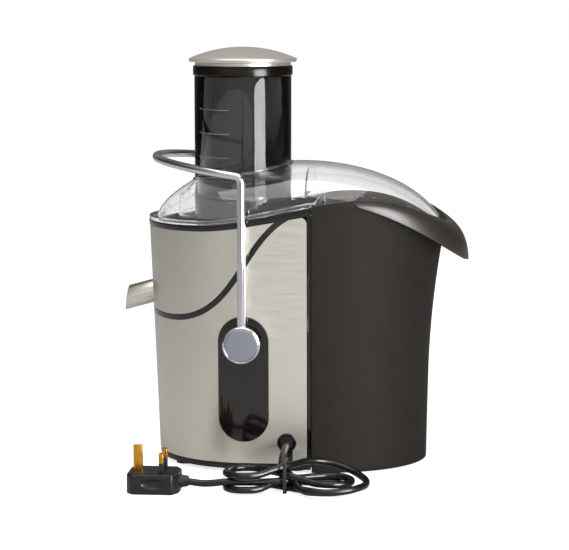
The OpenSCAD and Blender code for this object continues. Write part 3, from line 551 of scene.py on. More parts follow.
spin_x = middle_of("pusher_body").x
core_x = spin_x + 9
straight = 62  # length of the housing's flat sides, from the core to the seam
seam = core_x + straight
band_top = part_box("base_plate")[1].z / MM
skin = 0.8
pivot = middle_of("pivot_pins")
outlet_x = middle_of("cord_clamp").x
keyhole_r, keyhole_half = 8.6, 5.2
outlet_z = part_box("cord_bezel")[1].z / MM - keyhole_r
panel_r, panel_low, panel_high = 23, 29, 144.6
fit_gap = 0.2
spout_z, spout_dip = 179, radians(15.5)
spout_way = Vector((-cos(spout_dip), 0, -sin(spout_dip)))
top_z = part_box("pusher_cap")[1].z / MM


def body_r(z):
    """The housing's radius, and half its width, at a height."""
    return 88 + 0.04 * z


def cubic_at(knots, t):
    """A point of a cubic curve with four knots, at t from 0 to 1."""
    weights = [(1 - t) ** 3, 3 * t * (1 - t) ** 2, 3 * t * t * (1 - t), t ** 3]
    return [sum(w * k[i] for w, k in zip(weights, knots)) for i in (0, 1)]


def ramp(x, slope):
    """A height that stays level at the spout end and rises past the core, for x measured from the core."""
    return slope / 2 * (x + 25 + sqrt((x + 25) ** 2 + 625))


def steel_top(x):
    return 220 + ramp(x - core_x, 0.19)


def rim_top(x):
    return 225 + ramp(x - core_x, 0.22)


def bin_rim(x):
    d = x - core_x - 107
    return 250 - (0.0026 if d < 0 else 0.0042) * d * d


def bin_reach(z):
    return 103.2 + 0.02 * z + 0.0006 * max(0, z - 80) ** 2


print("spin axis", round(spin_x, 2), "core", round(core_x, 2), "seam", round(seam, 2), "top", round(top_z, 1))

# %% [markdown]
# ## Steel wraps
# Two thin sheets of brushed steel wrap the housing, parted by a black stripe that sweeps up from the spout.
# The sheet is made as a turned cone that is cut flat through the core and pushed out to the seam; a second one
# set in by the sheet's thickness hollows it; and side-view slabs cut the top edge and the stripe.


# %% Body form
def body_block(name, inset, low, high, end):
    """The housing's outer form between two heights: a cone, cut through the core and pushed out flat."""
    put_down()
    bpy.ops.mesh.primitive_cone_add(
        vertices=256, radius1=(body_r(low) - inset) * MM, radius2=(body_r(high) - inset) * MM,
        depth=(high - low) * MM, location=(core_x * MM, 0, (low + high) / 2 * MM))
    block = placed(name)
    bpy.ops.object.mode_set(mode="EDIT")
    bpy.ops.mesh.select_all(action="SELECT")
    bpy.ops.mesh.bisect(plane_co=(core_x * MM, 0, 0), plane_no=(1, 0, 0), clear_outer=True, use_fill=True)
    bpy.ops.object.mode_set(mode="OBJECT")
    for face in block.data.polygons:
        face.select = face.normal.x > 0.99
    bpy.ops.object.mode_set(mode="EDIT")
    bpy.ops.mesh.select_mode(type="FACE")
    bpy.ops.mesh.extrude_region_move(TRANSFORM_OT_translate={"value": ((end - core_x) * MM, 0, 0)})
    put_down()
    return close_up(block)


STRIPE_WIDTH = 5.2


def stripe_point(t, side):
    """A point of the stripe's edge: a cubic curve from the spout end up to the rim, and half its width aside."""
    knots = [(-100, 142.5), (0, 122), (-10, 215), (48, 239)]
    x, z = cubic_at(knots, t)
    slopes = [(1 - t) ** 2, 2 * t * (1 - t), t * t]
    dx, dz = (sum(w * (b[i] - a[i]) for w, a, b in zip(slopes, knots, knots[1:])) for i in (0, 1))
    reach = side * STRIPE_WIDTH / 2 / sqrt(dx * dx + dz * dz)
    return core_x + x - dz * reach, z + dx * reach


STRIPE_STEPS = 60
upper_edge = [stripe_point(i / STRIPE_STEPS, 1.04) for i in range(STRIPE_STEPS + 1)]
lower_edge = [stripe_point(i / STRIPE_STEPS, -1.04) for i in range(STRIPE_STEPS + 1)]
TOP_STEPS = 60
top_xs = [core_x - 110 + 180 * i / TOP_STEPS for i in range(TOP_STEPS + 1)]


# %% [markdown]
# The sheet is cut at its top edge, then a copy keeps what lies above the stripe and the first keeps what lies
# below it. Holes for the spout, the panels and the cord outlet come last, a little wider than what fills them.

# %% Steel wraps
steel = body_block("steel_sheet", 0, band_top + 0.2, 252, seam)
carve(steel, body_block("inside", skin, band_top - 2, 256, seam + 2))
carve(steel, side_slab("below_edge", [(top_xs[-1], 0), (top_xs[0], 0),
                                      *[(x, steel_top(x) - 0.1) for x in top_xs]]), "INTERSECT")
upper = copy_of(steel, "upper_steel")
lower = steel
lower.name = "lower_steel"
carve(upper, side_slab("above_stripe", [*upper_edge, (core_x + 48, 262), (core_x - 110, 262)]), "INTERSECT")

steel_end = core_x + 58.4
corner_r = 6
sheet_top = steel_top(core_x + 58) - 0.6
corner = [(steel_end - corner_r * (1 - cos(a)), sheet_top - corner_r * (1 - sin(a)))
          for a in [radians(7.5 * i) for i in range(13)]]
below_stripe = [*lower_edge, *reversed(corner), (steel_end, 0), (core_x - 110, 0)]
carve(lower, side_slab("under_stripe", below_stripe), "INTERSECT")


def spout_rod(name, radius, start, end, vertices=96):
    """A rod on the spout's axis, which leaves the spin axis and slopes down and away from it."""
    mid = Vector((spin_x, 0, spout_z)) + spout_way * (start + end) / 2
    put_down()
    bpy.ops.mesh.primitive_cylinder_add(vertices=vertices, radius=radius * MM, depth=(end - start) * MM,
                                        location=mid * MM, rotation=spout_way.to_track_quat("Z", "Y").to_euler())
    return placed(name)


carve(upper, spout_rod("spout_hole", 11.4, 75, 135))


def pill_outline(radius, low, high, steps=24):
    """An upright pill in side view, as (x, z) points."""
    turns = [pi * i / steps for i in range(steps + 1)]
    top = [(pivot.x + radius * cos(a), high - radius + radius * sin(a)) for a in turns]
    return top + [(pivot.x - radius * cos(a), low + radius - radius * sin(a)) for a in turns]


carve(lower, side_slab("panel_window", pill_outline(panel_r + fit_gap, panel_low - fit_gap, panel_high + fit_gap)))


def keyhole_outline(radius, half, steps=40):
    """The cord outlet in side view: a round head over a narrow way down to the base."""
    turn = asin(half / radius)
    start = -pi / 2 + turn
    head = [(outlet_x + radius * cos(a), outlet_z + radius * sin(a))
            for a in [start + (2 * pi - 2 * turn) * i / steps for i in range(steps + 1)]]
    return [(outlet_x + half, 0), *head, (outlet_x - half, 0)]


def near_side(name, outline):
    """A side-view outline, pushed through the near wall only."""
    return slab(name, [(x, -200, z) for x, z in outline], (0, 140, 0))


carve(lower, near_side("outlet_window", keyhole_outline(keyhole_r + fit_gap, keyhole_half + fit_gap)))
for wrap, node in ((upper, "upper_steel_wrap"), (lower, "lower_steel_wrap")):
    smooth(wrap, 25)
    done(wrap, "housing", "steel", "brushed_steel_wrap", node)

# %% [markdown]
# ## Black housing
# What shows of the housing is the rim above the steel, the stripe, and the upright strip beside the bin. Its
# CAD solid already has those surfaces, so a copy is merged, smooth-shaded and given a glossy finish. The base
# band, the panels and the outlet are cut from the same cone as the steel.


# %% Housing
def refined(node, name, width=0.0, angle=30):
    """A copy of a CAD node, with its points merged and its faces smooth-shaded across gentle edges."""
    piece = copy_of(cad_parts[node], name)
    world = piece.matrix_world.copy()
    piece.parent = None
    piece.data.transform(world)
    piece.matrix_world.identity()
    close_up(piece)
    if width:
        round_edges(piece, width, 2, 50)
    return smooth(piece, angle)


housing = refined("motor_housing", "black_housing")
carve(housing, refined("upper_housing", "upper_wall"), "UNION")
smooth(housing)
done(housing, "housing", "black", "black_housing", "motor_housing", "upper_housing")

stripe = body_block("black_stripe", -0.15, 100, 252, seam)
carve(stripe, body_block("inside", 0.9, 98, 256, seam + 2))
carve(stripe, side_slab("stripe_band", [*upper_edge, *reversed(lower_edge)]), "INTERSECT")
carve(stripe, side_slab("under_rim", [(top_xs[-1], 0), (top_xs[0], 0),
                                      *[(x, steel_top(x) + 0.8) for x in top_xs]]), "INTERSECT")
round_edges(stripe, 0.5, 3, 50)
smooth(stripe, 40)
done(stripe, "housing", "black", "black_housing")

bead = body_block("rim_bead", -0.5, 216, 252, seam)
carve(bead, body_block("inside", skin + 0.4, 214, 256, seam - 1.2))
carve(bead, side_slab("bead_band", [*[(x, steel_top(x) + 0.7) for x in top_xs],
                                   *[(x, rim_top(x) - 0.5) for x in reversed(top_xs)]]), "INTERSECT")
soften(bead, 0.7, 3)
done(bead, "housing", "black", "black_housing")

base = body_block("base_band", 0.4, 3, band_top, seam - 0.4)
carve(base, body_block("inside", 4, 7, band_top + 1, seam - 4))
soften(base, 0.8, 3)
done(base, "housing", "band", "black_housing", "base_plate")

# %% [markdown]
# ## Side panels and cord outlet
# Each panel is a thin shell cut to an upright pill, with its rim rounded so that it catches a line of light.


# %% Panels and outlet
def panel(name, side):
    shell = body_block(name, -1.8, 20, 160, seam)
    carve(shell, body_block("inside", skin + 0.05, 10, 170, seam + 1))
    carve(shell, side_slab("pill", pill_outline(panel_r, panel_low, panel_high)), "INTERSECT")
    carve(shell, box_between("half", (-300, 0, 0), (300, 300 * side, 300)), "INTERSECT")
    carve(shell, cross_rod("bush_hole", pivot.x, pivot.z, 0, 200 * side, 8))
    return soften(shell, 1.1, 4)


def cross_rod(name, x, z, y0, y1, radius, vertices=96):
    """A rod along Y."""
    put_down()
    bpy.ops.mesh.primitive_cylinder_add(vertices=vertices, radius=radius * MM, depth=abs(y1 - y0) * MM,
                                        location=(x * MM, (y0 + y1) / 2 * MM, z * MM), rotation=(pi / 2, 0, 0))
    return placed(name)


knob_z = middle_of("knob_spindle").z
front_panel = panel("near_side_panel", -1)
back_panel = panel("far_side_panel", 1)
carve(back_panel, cross_rod("knob_hole", pivot.x, knob_z, 0, 200, 6))
done(front_panel, "housing", "panel", "panel_gloss", "side_panel_front")
done(back_panel, "housing", "panel", "panel_gloss", "side_panel_back")

bezel = body_block("cord_outlet_frame", -1, band_top + 0.3, 50, seam)
carve(bezel, body_block("inside", skin + 0.05, 2, 60, seam + 1))
carve(bezel, near_side("keyhole", keyhole_outline(keyhole_r, keyhole_half)), "INTERSECT")
carve(bezel, cross_rod("cord_way", outlet_x, outlet_z, -200, 0, 6.3))
carve(bezel, box_between("slot", (outlet_x - 3.6, -200, 0), (outlet_x + 3.6, -60, outlet_z)))
soften(bezel, 0.35, 3)
done(bezel, "housing", "black", "black_housing", "cord_bezel")

# %% [markdown]
# ## Spout and bail
# The spout is a short steel tube that is cut back at the top of its mouth. The bail is one bent rod: two
# upright arms and a bowed loop, joined by bends. It is a curve with a round section, turned into a mesh.

# %% Spout
spout = spout_rod("steel_spout", 11, 70, 124)
carve(spout, spout_rod("bore", 10, 80, 140))
carve(spout, spout_rod("socket", 9.66, 60, 81))
spout_up = Vector((-sin(spout_dip), 0, cos(spout_dip)))
lower_lip = Vector((spin_x, 0, spout_z)) + spout_way * 119.6 - spout_up * 11
mouth_lean = radians(23)
cut_way = spout_up * cos(mouth_lean) - spout_way * sin(mouth_lean)
cut_out = spout_way * cos(mouth_lean) + spout_up * sin(mouth_lean)
mouth = [lower_lip - cut_way * 12, lower_lip + cut_way * 42, lower_lip + cut_way * 42 + cut_out * 30,
         lower_lip - cut_way * 12 + cut_out * 30]
carve(spout, side_slab("mouth_cut", [(p.x, p.z) for p in mouth], 20))
soften(spout, 0.3, 2)
done(spout, "housing", "spout", "steel_spout", "juice_spout")


# %% [markdown]
# The loop bows up and out from the tops of the arms as part of a tilted circle. Its first few points give way to
# the bend at each corner.

# %% Bail
def bent(points, bend, steps=10):
    """Points along a bent rod: each inner corner becomes an arc of the given radius."""
    out = [Vector(points[0])]
    for before, at, after in zip(points, points[1:], points[2:]):
        before, at, after = Vector(before), Vector(at), Vector(after)
        back, on = (before - at).normalized(), (after - at).normalized()
        half = back.angle(on) / 2
        reach = min(bend / tan(half), (before - at).length * 0.95, (after - at).length * 0.95)
        start, end = at + back * reach, at + on * reach
        for i in range(steps + 1):
            t = i / steps
            out.append(start * (1 - t) ** 2 + at * 2 * t * (1 - t) + end * t * t)
    out.append(Vector(points[-1]))
    return out


def rod_along(name, points, radius, sides=12, ends=True):
    """A round rod that follows the points."""
    put_down()
    path = bpy.data.curves.new(name, "CURVE")
    path.dimensions = "3D"
    path.bevel_depth = radius * MM
    path.bevel_resolution = sides
    path.use_fill_caps = ends
    run = path.splines.new("POLY")
    run.points.add(len(points) - 1)
    for knot, at in zip(run.points, points):
        knot.co = (*(Vector(at) * MM), 1)
    rod = bpy.data.objects.new(name, path)
    bpy.context.scene.collection.objects.link(rod)
    pick_up(rod)
    bpy.ops.object.convert(target="MESH")
    rod = bpy.context.object
    return close_up(rod)


rod_r, bend_r, given_way = 3.8, 7, 3
arm_y, corner_z, loop_rise, loop_reach = 106, 272, 12.2, 90.5
loop_tilt = atan2(loop_rise, loop_reach)
loop_len = loop_reach / cos(loop_tilt)
loop_r = (loop_len ** 2 + arm_y ** 2) / (2 * loop_len)
loop_half = asin(arm_y / loop_r)


def loop_point(turn):
    flat = loop_len - loop_r + loop_r * cos(turn)
    return Vector((pivot.x - flat * cos(loop_tilt), loop_r * sin(turn), corner_z + flat * sin(loop_tilt)))


LOOP_STEPS = 48
bow = [loop_point(-loop_half + 2 * loop_half * i / LOOP_STEPS) for i in range(LOOP_STEPS + 1)]
bow = bow[given_way:-given_way]
near_corner = bent([(pivot.x, -arm_y, pivot.z + 6), (pivot.x, -arm_y, corner_z), bow[0]], bend_r)
far_corner = bent([bow[-1], (pivot.x, arm_y, corner_z), (pivot.x, arm_y, pivot.z + 6)], bend_r)
bail = rod_along("bent_bail", near_corner[:-1] + bow + far_corner[1:], rod_r)
smooth(bail, 60)
done(bail, "bail", "chrome", "chrome", "bail_rod")

# %% [markdown]
# The pivot caps are turned: a chrome rim that rolls over into a shallow seat, and a satin disc pressed into it.


# %% Pivot caps
def one_cap(side, name):
    section = [(0.0, 98.8), (17, 98.8), (17, 110.6), (16.7, 111.7), (16.0, 112.4), (15.2, 112.6), (14.9, 112.4),
               (14.6, 111.8), (0.0, 111.8)]
    outer = turned(name, [(r, side * y) for r, y in section], (pivot.x, 0, pivot.z), "Y", 96)
    carve(outer, cross_rod("pin_way", pivot.x, pivot.z, side * 90, side * 106, 5))
    return carve(outer, turned("arm_way", [(0, 6), (rod_r, 6), (rod_r, 30), (0, 30)],
                               (pivot.x, side * arm_y, pivot.z), "Z", 48))


def one_disc(side, name):
    section = [(0.0, 111.8), (14.5, 111.8), (14.5, 112.5), (14.1, 112.9), (12.0, 113.0), (0.0, 113.0)]
    return turned(name, [(r, side * y) for r, y in section], (pivot.x, 0, pivot.z), "Y", 96)


for side, word in ((-1, "front"), (1, "back")):
    smooth(one_cap(side, f"pivot_cap_{word}"), 40)
    smooth(one_disc(side, f"pivot_disc_{word}"), 30)
done(bpy.data.objects["pivot_cap_front"], "bail", "chrome", "chrome", "pivot_caps")
done(bpy.data.objects["pivot_cap_back"], "bail", "chrome", "chrome")
done(bpy.data.objects["pivot_disc_front"], "bail", "satin", "satin_disc", "pivot_cap_discs")
done(bpy.data.objects["pivot_disc_back"], "bail", "satin", "satin_disc")

# %% [markdown]
# ## Clear lid
# The lid is a long hood that runs from a dome over the juicing parts down to a tongue over the bin. Its
# cross-section at any place is an arch: x is fixed, and the arch climbs from the skirt on one side to the crown
# and down again. One half of a grid gives x and the other gives the way round the arch, and the sheet is then
# given its 2.5 mm wall and smooth-shaded.


# %% Lid hood
dome_r = 91.5
tongue_half = 88
nose_reach = 115.5
arch_low, crown_power, side_power = 224, 0.75, 0.6
hood_start, hood_end = core_x - dome_r, seam + nose_reach
crown_left = [(-91.5, 221), (-88, 240), (-73, 252), (-50, 265)]
crown_right = [(36, 278.5), (80, 281), (150, 268), (177.5, 226)]


crown_line = ([cubic_at(crown_left, i / 40) for i in range(41)]
              + [cubic_at(crown_right, i / 60) for i in range(61)])


def crown(x):
    """The hood's height along its middle, for x in millimetres."""
    d = x - core_x
    for (xa, za), (xb, zb) in zip(crown_line, crown_line[1:]):
        if xa <= d <= xb:
            return za + (zb - za) * (d - xa) / max(xb - xa, 1e-6)
    return crown_line[0][1] if d < 0 else crown_line[-1][1]


def half_width(x):
    """Half the hood's width in plan: a round end, straight sides and a blunt tongue."""
    d = x - core_x
    if d <= 0:
        return sqrt(max(dome_r ** 2 - d ** 2, 0))
    if d <= straight:
        return dome_r - (dome_r - tongue_half) * (d / straight) ** 2
    return tongue_half * sqrt(max(1 - ((d - straight) / nose_reach) ** 2, 0))


def skirt(x):
    """The hood's lower edge: on the housing's rim, and then down inside the bin."""
    return rim_top(x) + 0.4 if x < seam + 0.5 else bin_rim(x) - 6


def arch(x, share):
    """A point of the hood at x: share runs from 0 at the near skirt over the crown to 1 at the far one."""
    turn = pi * share
    c, s = -cos(turn), sin(turn)
    z = arch_low + (crown(x) - arch_low) * s ** crown_power
    y = half_width(x) * (1 if c > 0 else -1) * abs(c) ** side_power
    return y, max(z, min(skirt(x), crown(x)))


def hood_x(u):
    """Closer spacing where the ends curve away."""
    return hood_start + 0.01 + (hood_end - hood_start - 0.02) * (1 - cos(pi * u)) / 2


def hood_place(u, v):
    x = hood_x(u)
    y, z = arch(x, v)
    return x, y, z


hood = formed("lid_hood", 150, 90, hood_place)
thicken(hood, 2.5)
close_up(hood)
tube_cut = turned("tube_cut", [(0, 150), (45.5, 150), (45.5, 400), (0, 400)], (spin_x, 0, 0))
carve(hood, tube_cut)
smooth(hood, 30)
done(hood, "lid", "lid", "clear_plastic", "clear_lid")

# %% [markdown]
# The lid also has a flat flange that sits on the housing's rim, a ring that hangs inside the dome to catch
# splashes, and the feed tube, which is a plain ring with a rounded mouth.


# %% Lid flange, splash ring and feed tube
def hood_height(x, y, inset=0.0):
    """The hood's height at a place away from the middle."""
    wide = max(half_width(x), 0.01)
    c = min(abs(y) / wide, 1) ** (1 / side_power)
    return arch_low + (crown(x) - arch_low) * sqrt(max(1 - c * c, 0)) ** crown_power - inset


def plan_block(name, inset, low, high, steps=48):
    """The hood's plan, as an upright prism."""
    round_end = [(core_x + (dome_r - inset) * cos(a), (dome_r - inset) * sin(a))
                 for a in [pi / 2 + pi * i / steps for i in range(steps + 1)]]
    tongue = [(seam + (nose_reach - inset) * cos(a), (tongue_half - inset) * sin(a))
              for a in [-pi / 2 + pi * i / steps for i in range(steps + 1)]]
    return slab(name, [(x, y, low) for x, y in round_end + tongue], (0, 0, high - low))


flange = body_block("lid_flange", 0, 212, 254, seam - 0.6)
carve(flange, plan_block("hood_inside", 2.4, 200, 270))
carve(flange, side_slab("flange_band", [*[(x, rim_top(x) + 0.4) for x in top_xs],
                                        *[(x, rim_top(x) + 3.6) for x in reversed(top_xs)]]), "INTERSECT")
soften(flange, 0.9, 3)
done(flange, "lid", "lid", "clear_plastic", "clear_lid")


def splash_place(u, v):
    turn = radians(62 + 236 * u)
    x, y = spin_x + 61 * cos(turn), 61 * sin(turn)
    top = min(250, hood_height(x, y, 2.7))
    return x, y, 216 + (top - 216) * v


splash = formed("lid_splash_ring", 96, 8, splash_place)
thicken(splash, 3)
smooth(splash, 40)
done(splash, "lid", "lid", "clear_plastic")

tube_low, tube_top = (v.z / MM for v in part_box("feed_tube"))
tube = turned("lid_feed_tube", [(43.5, tube_low), (45.5, tube_low), (45.5, tube_top - 0.8), (45.2, tube_top - 0.2),
                            (44.6, tube_top), (43.9, tube_top - 0.2), (43.5, tube_top - 0.8)], (spin_x, 0, 0))
smooth(tube, 50)
done(tube, "lid", "tube", "clear_plastic", "feed_tube")


def tube_foot(turn):
    x, y = spin_x + 46.2 * cos(turn), 46.2 * sin(turn)
    return x, y, hood_height(x, y) + 0.2


FOOT_STEPS = 96
foot = rod_along("tube_foot_bead", [tube_foot(2 * pi * i / FOOT_STEPS) for i in range(FOOT_STEPS + 1)], 1.3, 6,
                 False)
smooth(foot, 60)
done(foot, "lid", "lid", "clear_plastic")

rib_x = core_x + 55
rib_steps = [0.12 + 0.76 * i / 40 for i in range(41)]
rib_arch = [(y * 0.955, z - 2.8) for y, z in [arch(rib_x, s) for s in rib_steps] if z - 2.8 > 252]
rib = slab("lid_inner_rib", [(rib_x, y, z) for y, z in rib_arch], (1.6, 0, 0))
smooth(rib, 40)
done(rib, "lid", "lid", "clear_plastic")

# %% [markdown]
# ## Pusher
# The pusher is a smoked cup with fine raised lines to measure by, under a brown collar and a turned metal cap
# with a low dome.

# %% Pusher, collar and cap
collar_low, collar_high = (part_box("pusher_collar")[0].z / MM + 7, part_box("pusher_collar")[1].z / MM)
pusher_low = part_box("pusher_body")[0].z / MM
cup = turned("pusher_cup", [(0, pusher_low), (40.5, pusher_low), (41.9, pusher_low + 0.6), (42.5, pusher_low + 2),
                            (42.5, collar_low), (40.5, collar_low), (40.5, pusher_low + 5), (0, pusher_low + 3)],
              (spin_x, 0, 0))
smooth(cup, 40)
done(cup, "pusher", "smoked", "smoked_plastic", "pusher_body")
line_r = 42.45
line_arc = [radians(-158 + 4 * i) for i in range(15)]
for k, height in enumerate((262, 284, 306, 328)):
    mark = rod_along(f"measuring_line_{k}",
                     [(spin_x + line_r * cos(a), line_r * sin(a), height) for a in line_arc], 0.22, 2)
    done(mark, "pusher", "satin", "smoked_plastic")

collar = turned("brown_collar", [(36.5, collar_low - 7), (40.4, collar_low - 7), (40.4, collar_low),
                                  (45.9, collar_low), (46.7, collar_low + 0.8), (46.7, collar_high - 0.7),
                                  (46.2, collar_high), (36.5, collar_high)], (spin_x, 0, 0))
smooth(collar, 40)
done(collar, "pusher", "collar", "collar_dark", "pusher_collar")

cap_r = 50.8
rim_z = collar_high + 3.4
rise = top_z - rim_z - 3.2
ball = (cap_r ** 2 + rise ** 2) / (2 * rise)
dome_turn = asin((cap_r - 1.1) / ball)
dome = [(ball * sin(t), top_z - ball + ball * cos(t)) for t in [dome_turn * i / 24 for i in range(25)]]
cap = turned("domed_cap", [(0, collar_high), (45, collar_high), (45, rim_z - 0.6), (45.6, rim_z), (50.0, rim_z),
                            (50.2, rim_z + 1.0), (50.7, rim_z + 1.3), (50.8, rim_z + 1.9), (50.7, rim_z + 2.6),
                            *reversed(dome)], (spin_x, 0, 0), "Z", 192)
smooth(cap, 30)
done(cap, "pusher", "cap", "cap_metal", "pusher_cap")

# %% [markdown]
# ## Pulp bin
# The bin is one closed form taken out of another. Each is a grid that is wrapped round: v climbs from the middle
# of the floor, up the wall, and back to the middle of the arched top; u runs round the nose and along the flat
# back.


# %% Bin
def bin_ring(u, z, inset):
    """A point round the bin at one height: seven parts of the way round the nose, and three along the back."""
    reach = bin_reach(z) - 0.6 - 2 * inset
    back = seam + 0.6 + inset
    half = body_r(z) - inset
    if u <= 0.7:
        turn = pi * (u / 0.7 - 0.5)
        return back + reach * cos(turn), half * sin(turn)
    return back, half * (1 - 2 * (u - 0.7) / 0.3)


def bin_form(name, inset, floor_z, raise_top):
    middle_x = seam + 45

    def place(u, v):
        if v < 0.1:
            x, y = bin_ring(u, floor_z, inset)
            share = v / 0.1
            return middle_x + (x - middle_x) * share, y * share, floor_z
        share = min((v - 0.1) / 0.8, 1)
        guess_x, _ = bin_ring(u, 226, inset)
        top = bin_rim(guess_x) + raise_top
        z = floor_z + (top - floor_z) * share
        x, y = bin_ring(u, min(z, 246), inset)
        if v > 0.9:
            inward = 1 - (v - 0.9) / 0.1
            x, y = middle_x + (x - middle_x) * inward, y * inward
            z = bin_rim(x) + raise_top
        return x, y, z

    return formed(name, 160, 60, place)


bin_shell = bin_form("bin_shell", 0, 0.6, 0)
carve(bin_shell, bin_form("bin_inside", 2.5, 3.5, 8))
carve(bin_shell, box_between("pulp_way", (seam - 2, -50, 200), (seam + 6, 50, 280)))
carve(bin_shell, box_between("low_back", (seam - 2, -93.5, 234), (seam + 4, 93.5, 314)))
round_edges(bin_shell, 0.5, 2, 40)
smooth(bin_shell, 35)
done(bin_shell, "bin", "bin", "bin_plastic", "pulp_bin")


# %% [markdown]
# The brim leaves the bin's rim, rolls over as a quarter of an ellipse and ends at a lip that droops to the sides.


# %% Brim
def lip_height(x):
    d = x - core_x - 85
    return 249 - 0.19 * d - 0.0027 * d * d


def brim_place(u, v):
    turn = radians(-73 + 146 * u)
    root = (seam + (bin_reach(226) - 1.5) * cos(turn), (body_r(240) - 1.5) * sin(turn))
    tip = (seam + 141.5 * cos(turn), (body_r(240) + 0.5) * sin(turn))
    top = bin_rim(seam + bin_reach(226) * cos(turn))
    low = min(top - 1.2, lip_height(tip[0]))
    s, c = sin(pi / 2 * v), cos(pi / 2 * v)
    return (root[0] + (tip[0] - root[0]) * s, root[1] + (tip[1] - root[1]) * s, low + (top - 0.5 - low) * c)


brim = formed("curved_brim", 120, 20, brim_place)
thicken(brim, 2.2)
round_edges(brim, 0.6, 3, 50)
smooth(brim, 40)
# The brim's finish is the bin's plastic painted a little lighter, as painted light on its upper face.
done(brim, "bin", "brim", "bin_plastic", "bin_brim")

# %% [markdown]
# ## Knob, cord tie and plug
# The control knob is on the far side. The plug lies with its pins up, and has a thumb recess on its near face.

# %% Knob and tie
knob = turned("turn_knob", [(0, 93), (18, 93), (18, 95.2), (17.2, 96), (16, 96), (15.4, 105.8), (14.2, 107),
                            (0, 107)], (pivot.x, 0, knob_z), "Y", 96)
carve(knob, cross_rod("spindle_way", pivot.x, knob_z, 90, 104, 3))
carve(knob, box_between("knob_pointer", (pivot.x - 2, 106, knob_z - 14), (pivot.x + 2, 110, knob_z + 14)), "UNION")
soften(knob, 0.5, 2)
done(knob, "knob", "collar", "collar_dark", "control_knob")


tie = box_between("cord_band", (tie_x - 1.5, tie_y - 12.2, 0), (tie_x + 1.5, tie_y + 12.2, 27.2))
carve(tie, box_between("way", (tie_x - 4, tie_y - 11, 0.2), (tie_x + 4, tie_y + 11, 26)))
soften(tie, 0.35, 2)
done(tie, "housing", "dark", "cord_pvc", "cord_tie")

# %% [markdown]
# The plug's body is an outline pushed up, with a collar for the cord. The earth pin is the long one. The two line
# pins have an insulating sleeve over the root, so each is a thin shank, its sleeve and a thicker tip.

# %% Plug
plug_x, plug_y, plug_h = -111.0, -166.0, 18.0
corners = [(-23, -14), (-18, -19.5), (18, -19.5), (23, -10), (23, 10), (18, 19.5), (-18, 19.5), (-23, 14)]
plug = slab("mains_plug", [(plug_x + x, plug_y + y, 0) for x, y in corners], (0, 0, plug_h))
round_edges(plug, 1.6, 3, 20)


def along_x(name, x0, x1, y, z, radius, far_radius=None):
    put_down()
    bpy.ops.mesh.primitive_cone_add(vertices=64, radius1=radius * MM, radius2=(far_radius or radius) * MM,
                                    depth=(x1 - x0) * MM, location=((x0 + x1) / 2 * MM, y * MM, z * MM),
                                    rotation=(0, pi / 2, 0))
    return placed(name)


carve(plug, along_x("neck", plug_x + 21, plug_x + 30, plug_y, 9, 6.2, 4.6), "UNION")
carve(plug, along_x("cord_way", plug_x + 21.5, plug_x + 34, plug_y, 9, cord_d / 2 + 0.02))
put_down()
bpy.ops.mesh.primitive_uv_sphere_add(segments=64, ring_count=32, radius=0.01,
                                     location=((plug_x + 1) * MM, (plug_y - 22.3) * MM, 9.6 * MM))
bpy.context.object.scale = (1.3, 0.5, 0.55)
carve(plug, placed("thumb_recess"))
pin_root = plug_h - 2.5
above_plug = 40
sleeve_top = pin_root + 11.5
EARTH, LINE, SHANK = (4, 2), (2, 3.2), (1.4, 2.6)  # half of each pin's length and width
earth = (plug_x - 14.6, plug_y)
line_pins = [(plug_x + 7.6, plug_y - 11.1), (plug_x + 7.6, plug_y + 11.1)]


def pin_box(name, at, half, low, high):
    """An upright bar centred on a place in plan."""
    return box_between(name, (at[0] - half[0], at[1] - half[1], low), (at[0] + half[0], at[1] + half[1], high))


carve(plug, pin_box("earth_way", earth, EARTH, pin_root, above_plug))
for at in line_pins:
    carve(plug, pin_box("pin_way", at, LINE, pin_root, above_plug))
smooth(plug, 30)
done(plug, "housing", "plug", "plug_pvc", "plug_body")


def pin(name, at, half, low, high):
    return soften(pin_box(name, at, half, low, high), 0.5, 3)


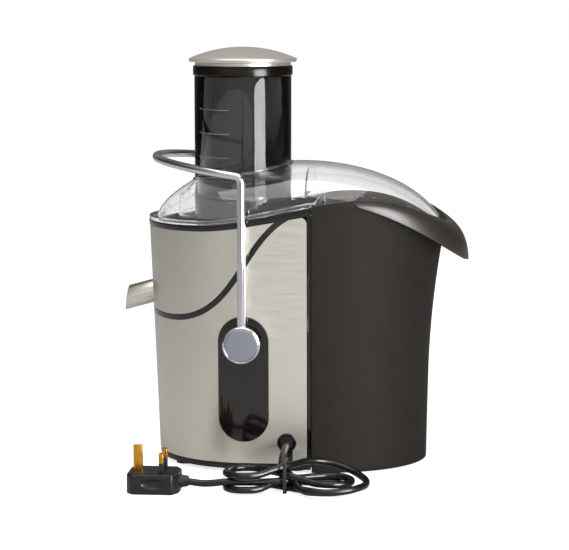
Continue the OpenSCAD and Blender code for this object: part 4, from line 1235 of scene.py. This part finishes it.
earth_pin = pin("earth_pin", earth, EARTH, pin_root, pin_root + 25.2)
done(earth_pin, "housing", "pin_brass", "brass", "plug_pins")
plug_parts = [plug, earth_pin]
for k, at in enumerate(line_pins):
    shank = pin(f"line_pin_root_{k}", at, SHANK, pin_root, sleeve_top)
    tip = pin(f"line_pin_{k}", at, LINE, plug_h + 9, plug_h + 17.7)
    sleeve = pin_box(f"pin_sleeve_{k}", at, LINE, pin_root, sleeve_top)
    carve(sleeve, pin_box("shank_way", at, SHANK, 0, above_plug))
    soften(sleeve, 0.3, 2)
    done(shank, "housing", "pin_brass", "brass")
    done(tip, "housing", "pin_brass", "brass")
    done(sleeve, "housing", "plug", "plug_pvc", "pin_sleeves")
    plug_parts += [shank, tip, sleeve]

# %% [markdown]
# ## Parts inside
# These show through the clear lid, or when the lid is lifted or the bin is taken off. The ones nearest to view
# are merged and smooth-shaded copies of their CAD solids; the rest keep their CAD solids and take a finish.

# %% Inner parts
near_view = [
    ("juice_bowl", "housing", "bowl", "bowl_plastic"), ("basket_frame", "rotor", "natural", "natural_plastic"),
    ("filter_mesh", "rotor", "mesh", "steel_part"), ("grater_disc", "rotor", "bright", "steel_part"),
    ("lid_seal", "lid", "rubber", "rubber"), ("basket_hub", "rotor", "dark", "dark_plastic"),
]
for node, body, material, slot_name in near_view:
    done(refined(node, f"{node}_smooth"), body, material, slot_name, node)

plain = {
    "rubber": ["rubber_feet", "motor_mounts", "shaft_seal"],
    "bright": ["base_screws", "bearings", "motor_shaft", "pivot_pins", "knob_spindle"],
    "brass": ["pivot_bushes", "brush_holders"],
    "dark": ["cord_clamp", "interlock_switch", "thermal_cutout", "drive_coupling"],
    "natural": ["terminal_block", "rotary_switch", "cooling_fan", "interlock_plunger"],
    "lead": ["internal_leads"],
    "laminated": ["stator_core", "rotor_core"],
    "winding": ["field_coils", "rotor_windings", "commutator"],
    "alloy": ["upper_motor_bracket", "lower_motor_bracket"],
    "carbon": ["carbon_brushes"],
}
for material, names in plain.items():
    for node in names:
        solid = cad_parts[node]
        solid.data.materials.clear()
        solid.data.materials.append(finish[material])
print(sum(len(names) for names in plain.values()), "CAD solids given a finish")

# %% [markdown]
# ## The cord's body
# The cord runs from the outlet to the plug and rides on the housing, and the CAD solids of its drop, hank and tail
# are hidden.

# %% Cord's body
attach(cord, "housing")
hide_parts("cord_drop", "cord_hank", "cord_tail")
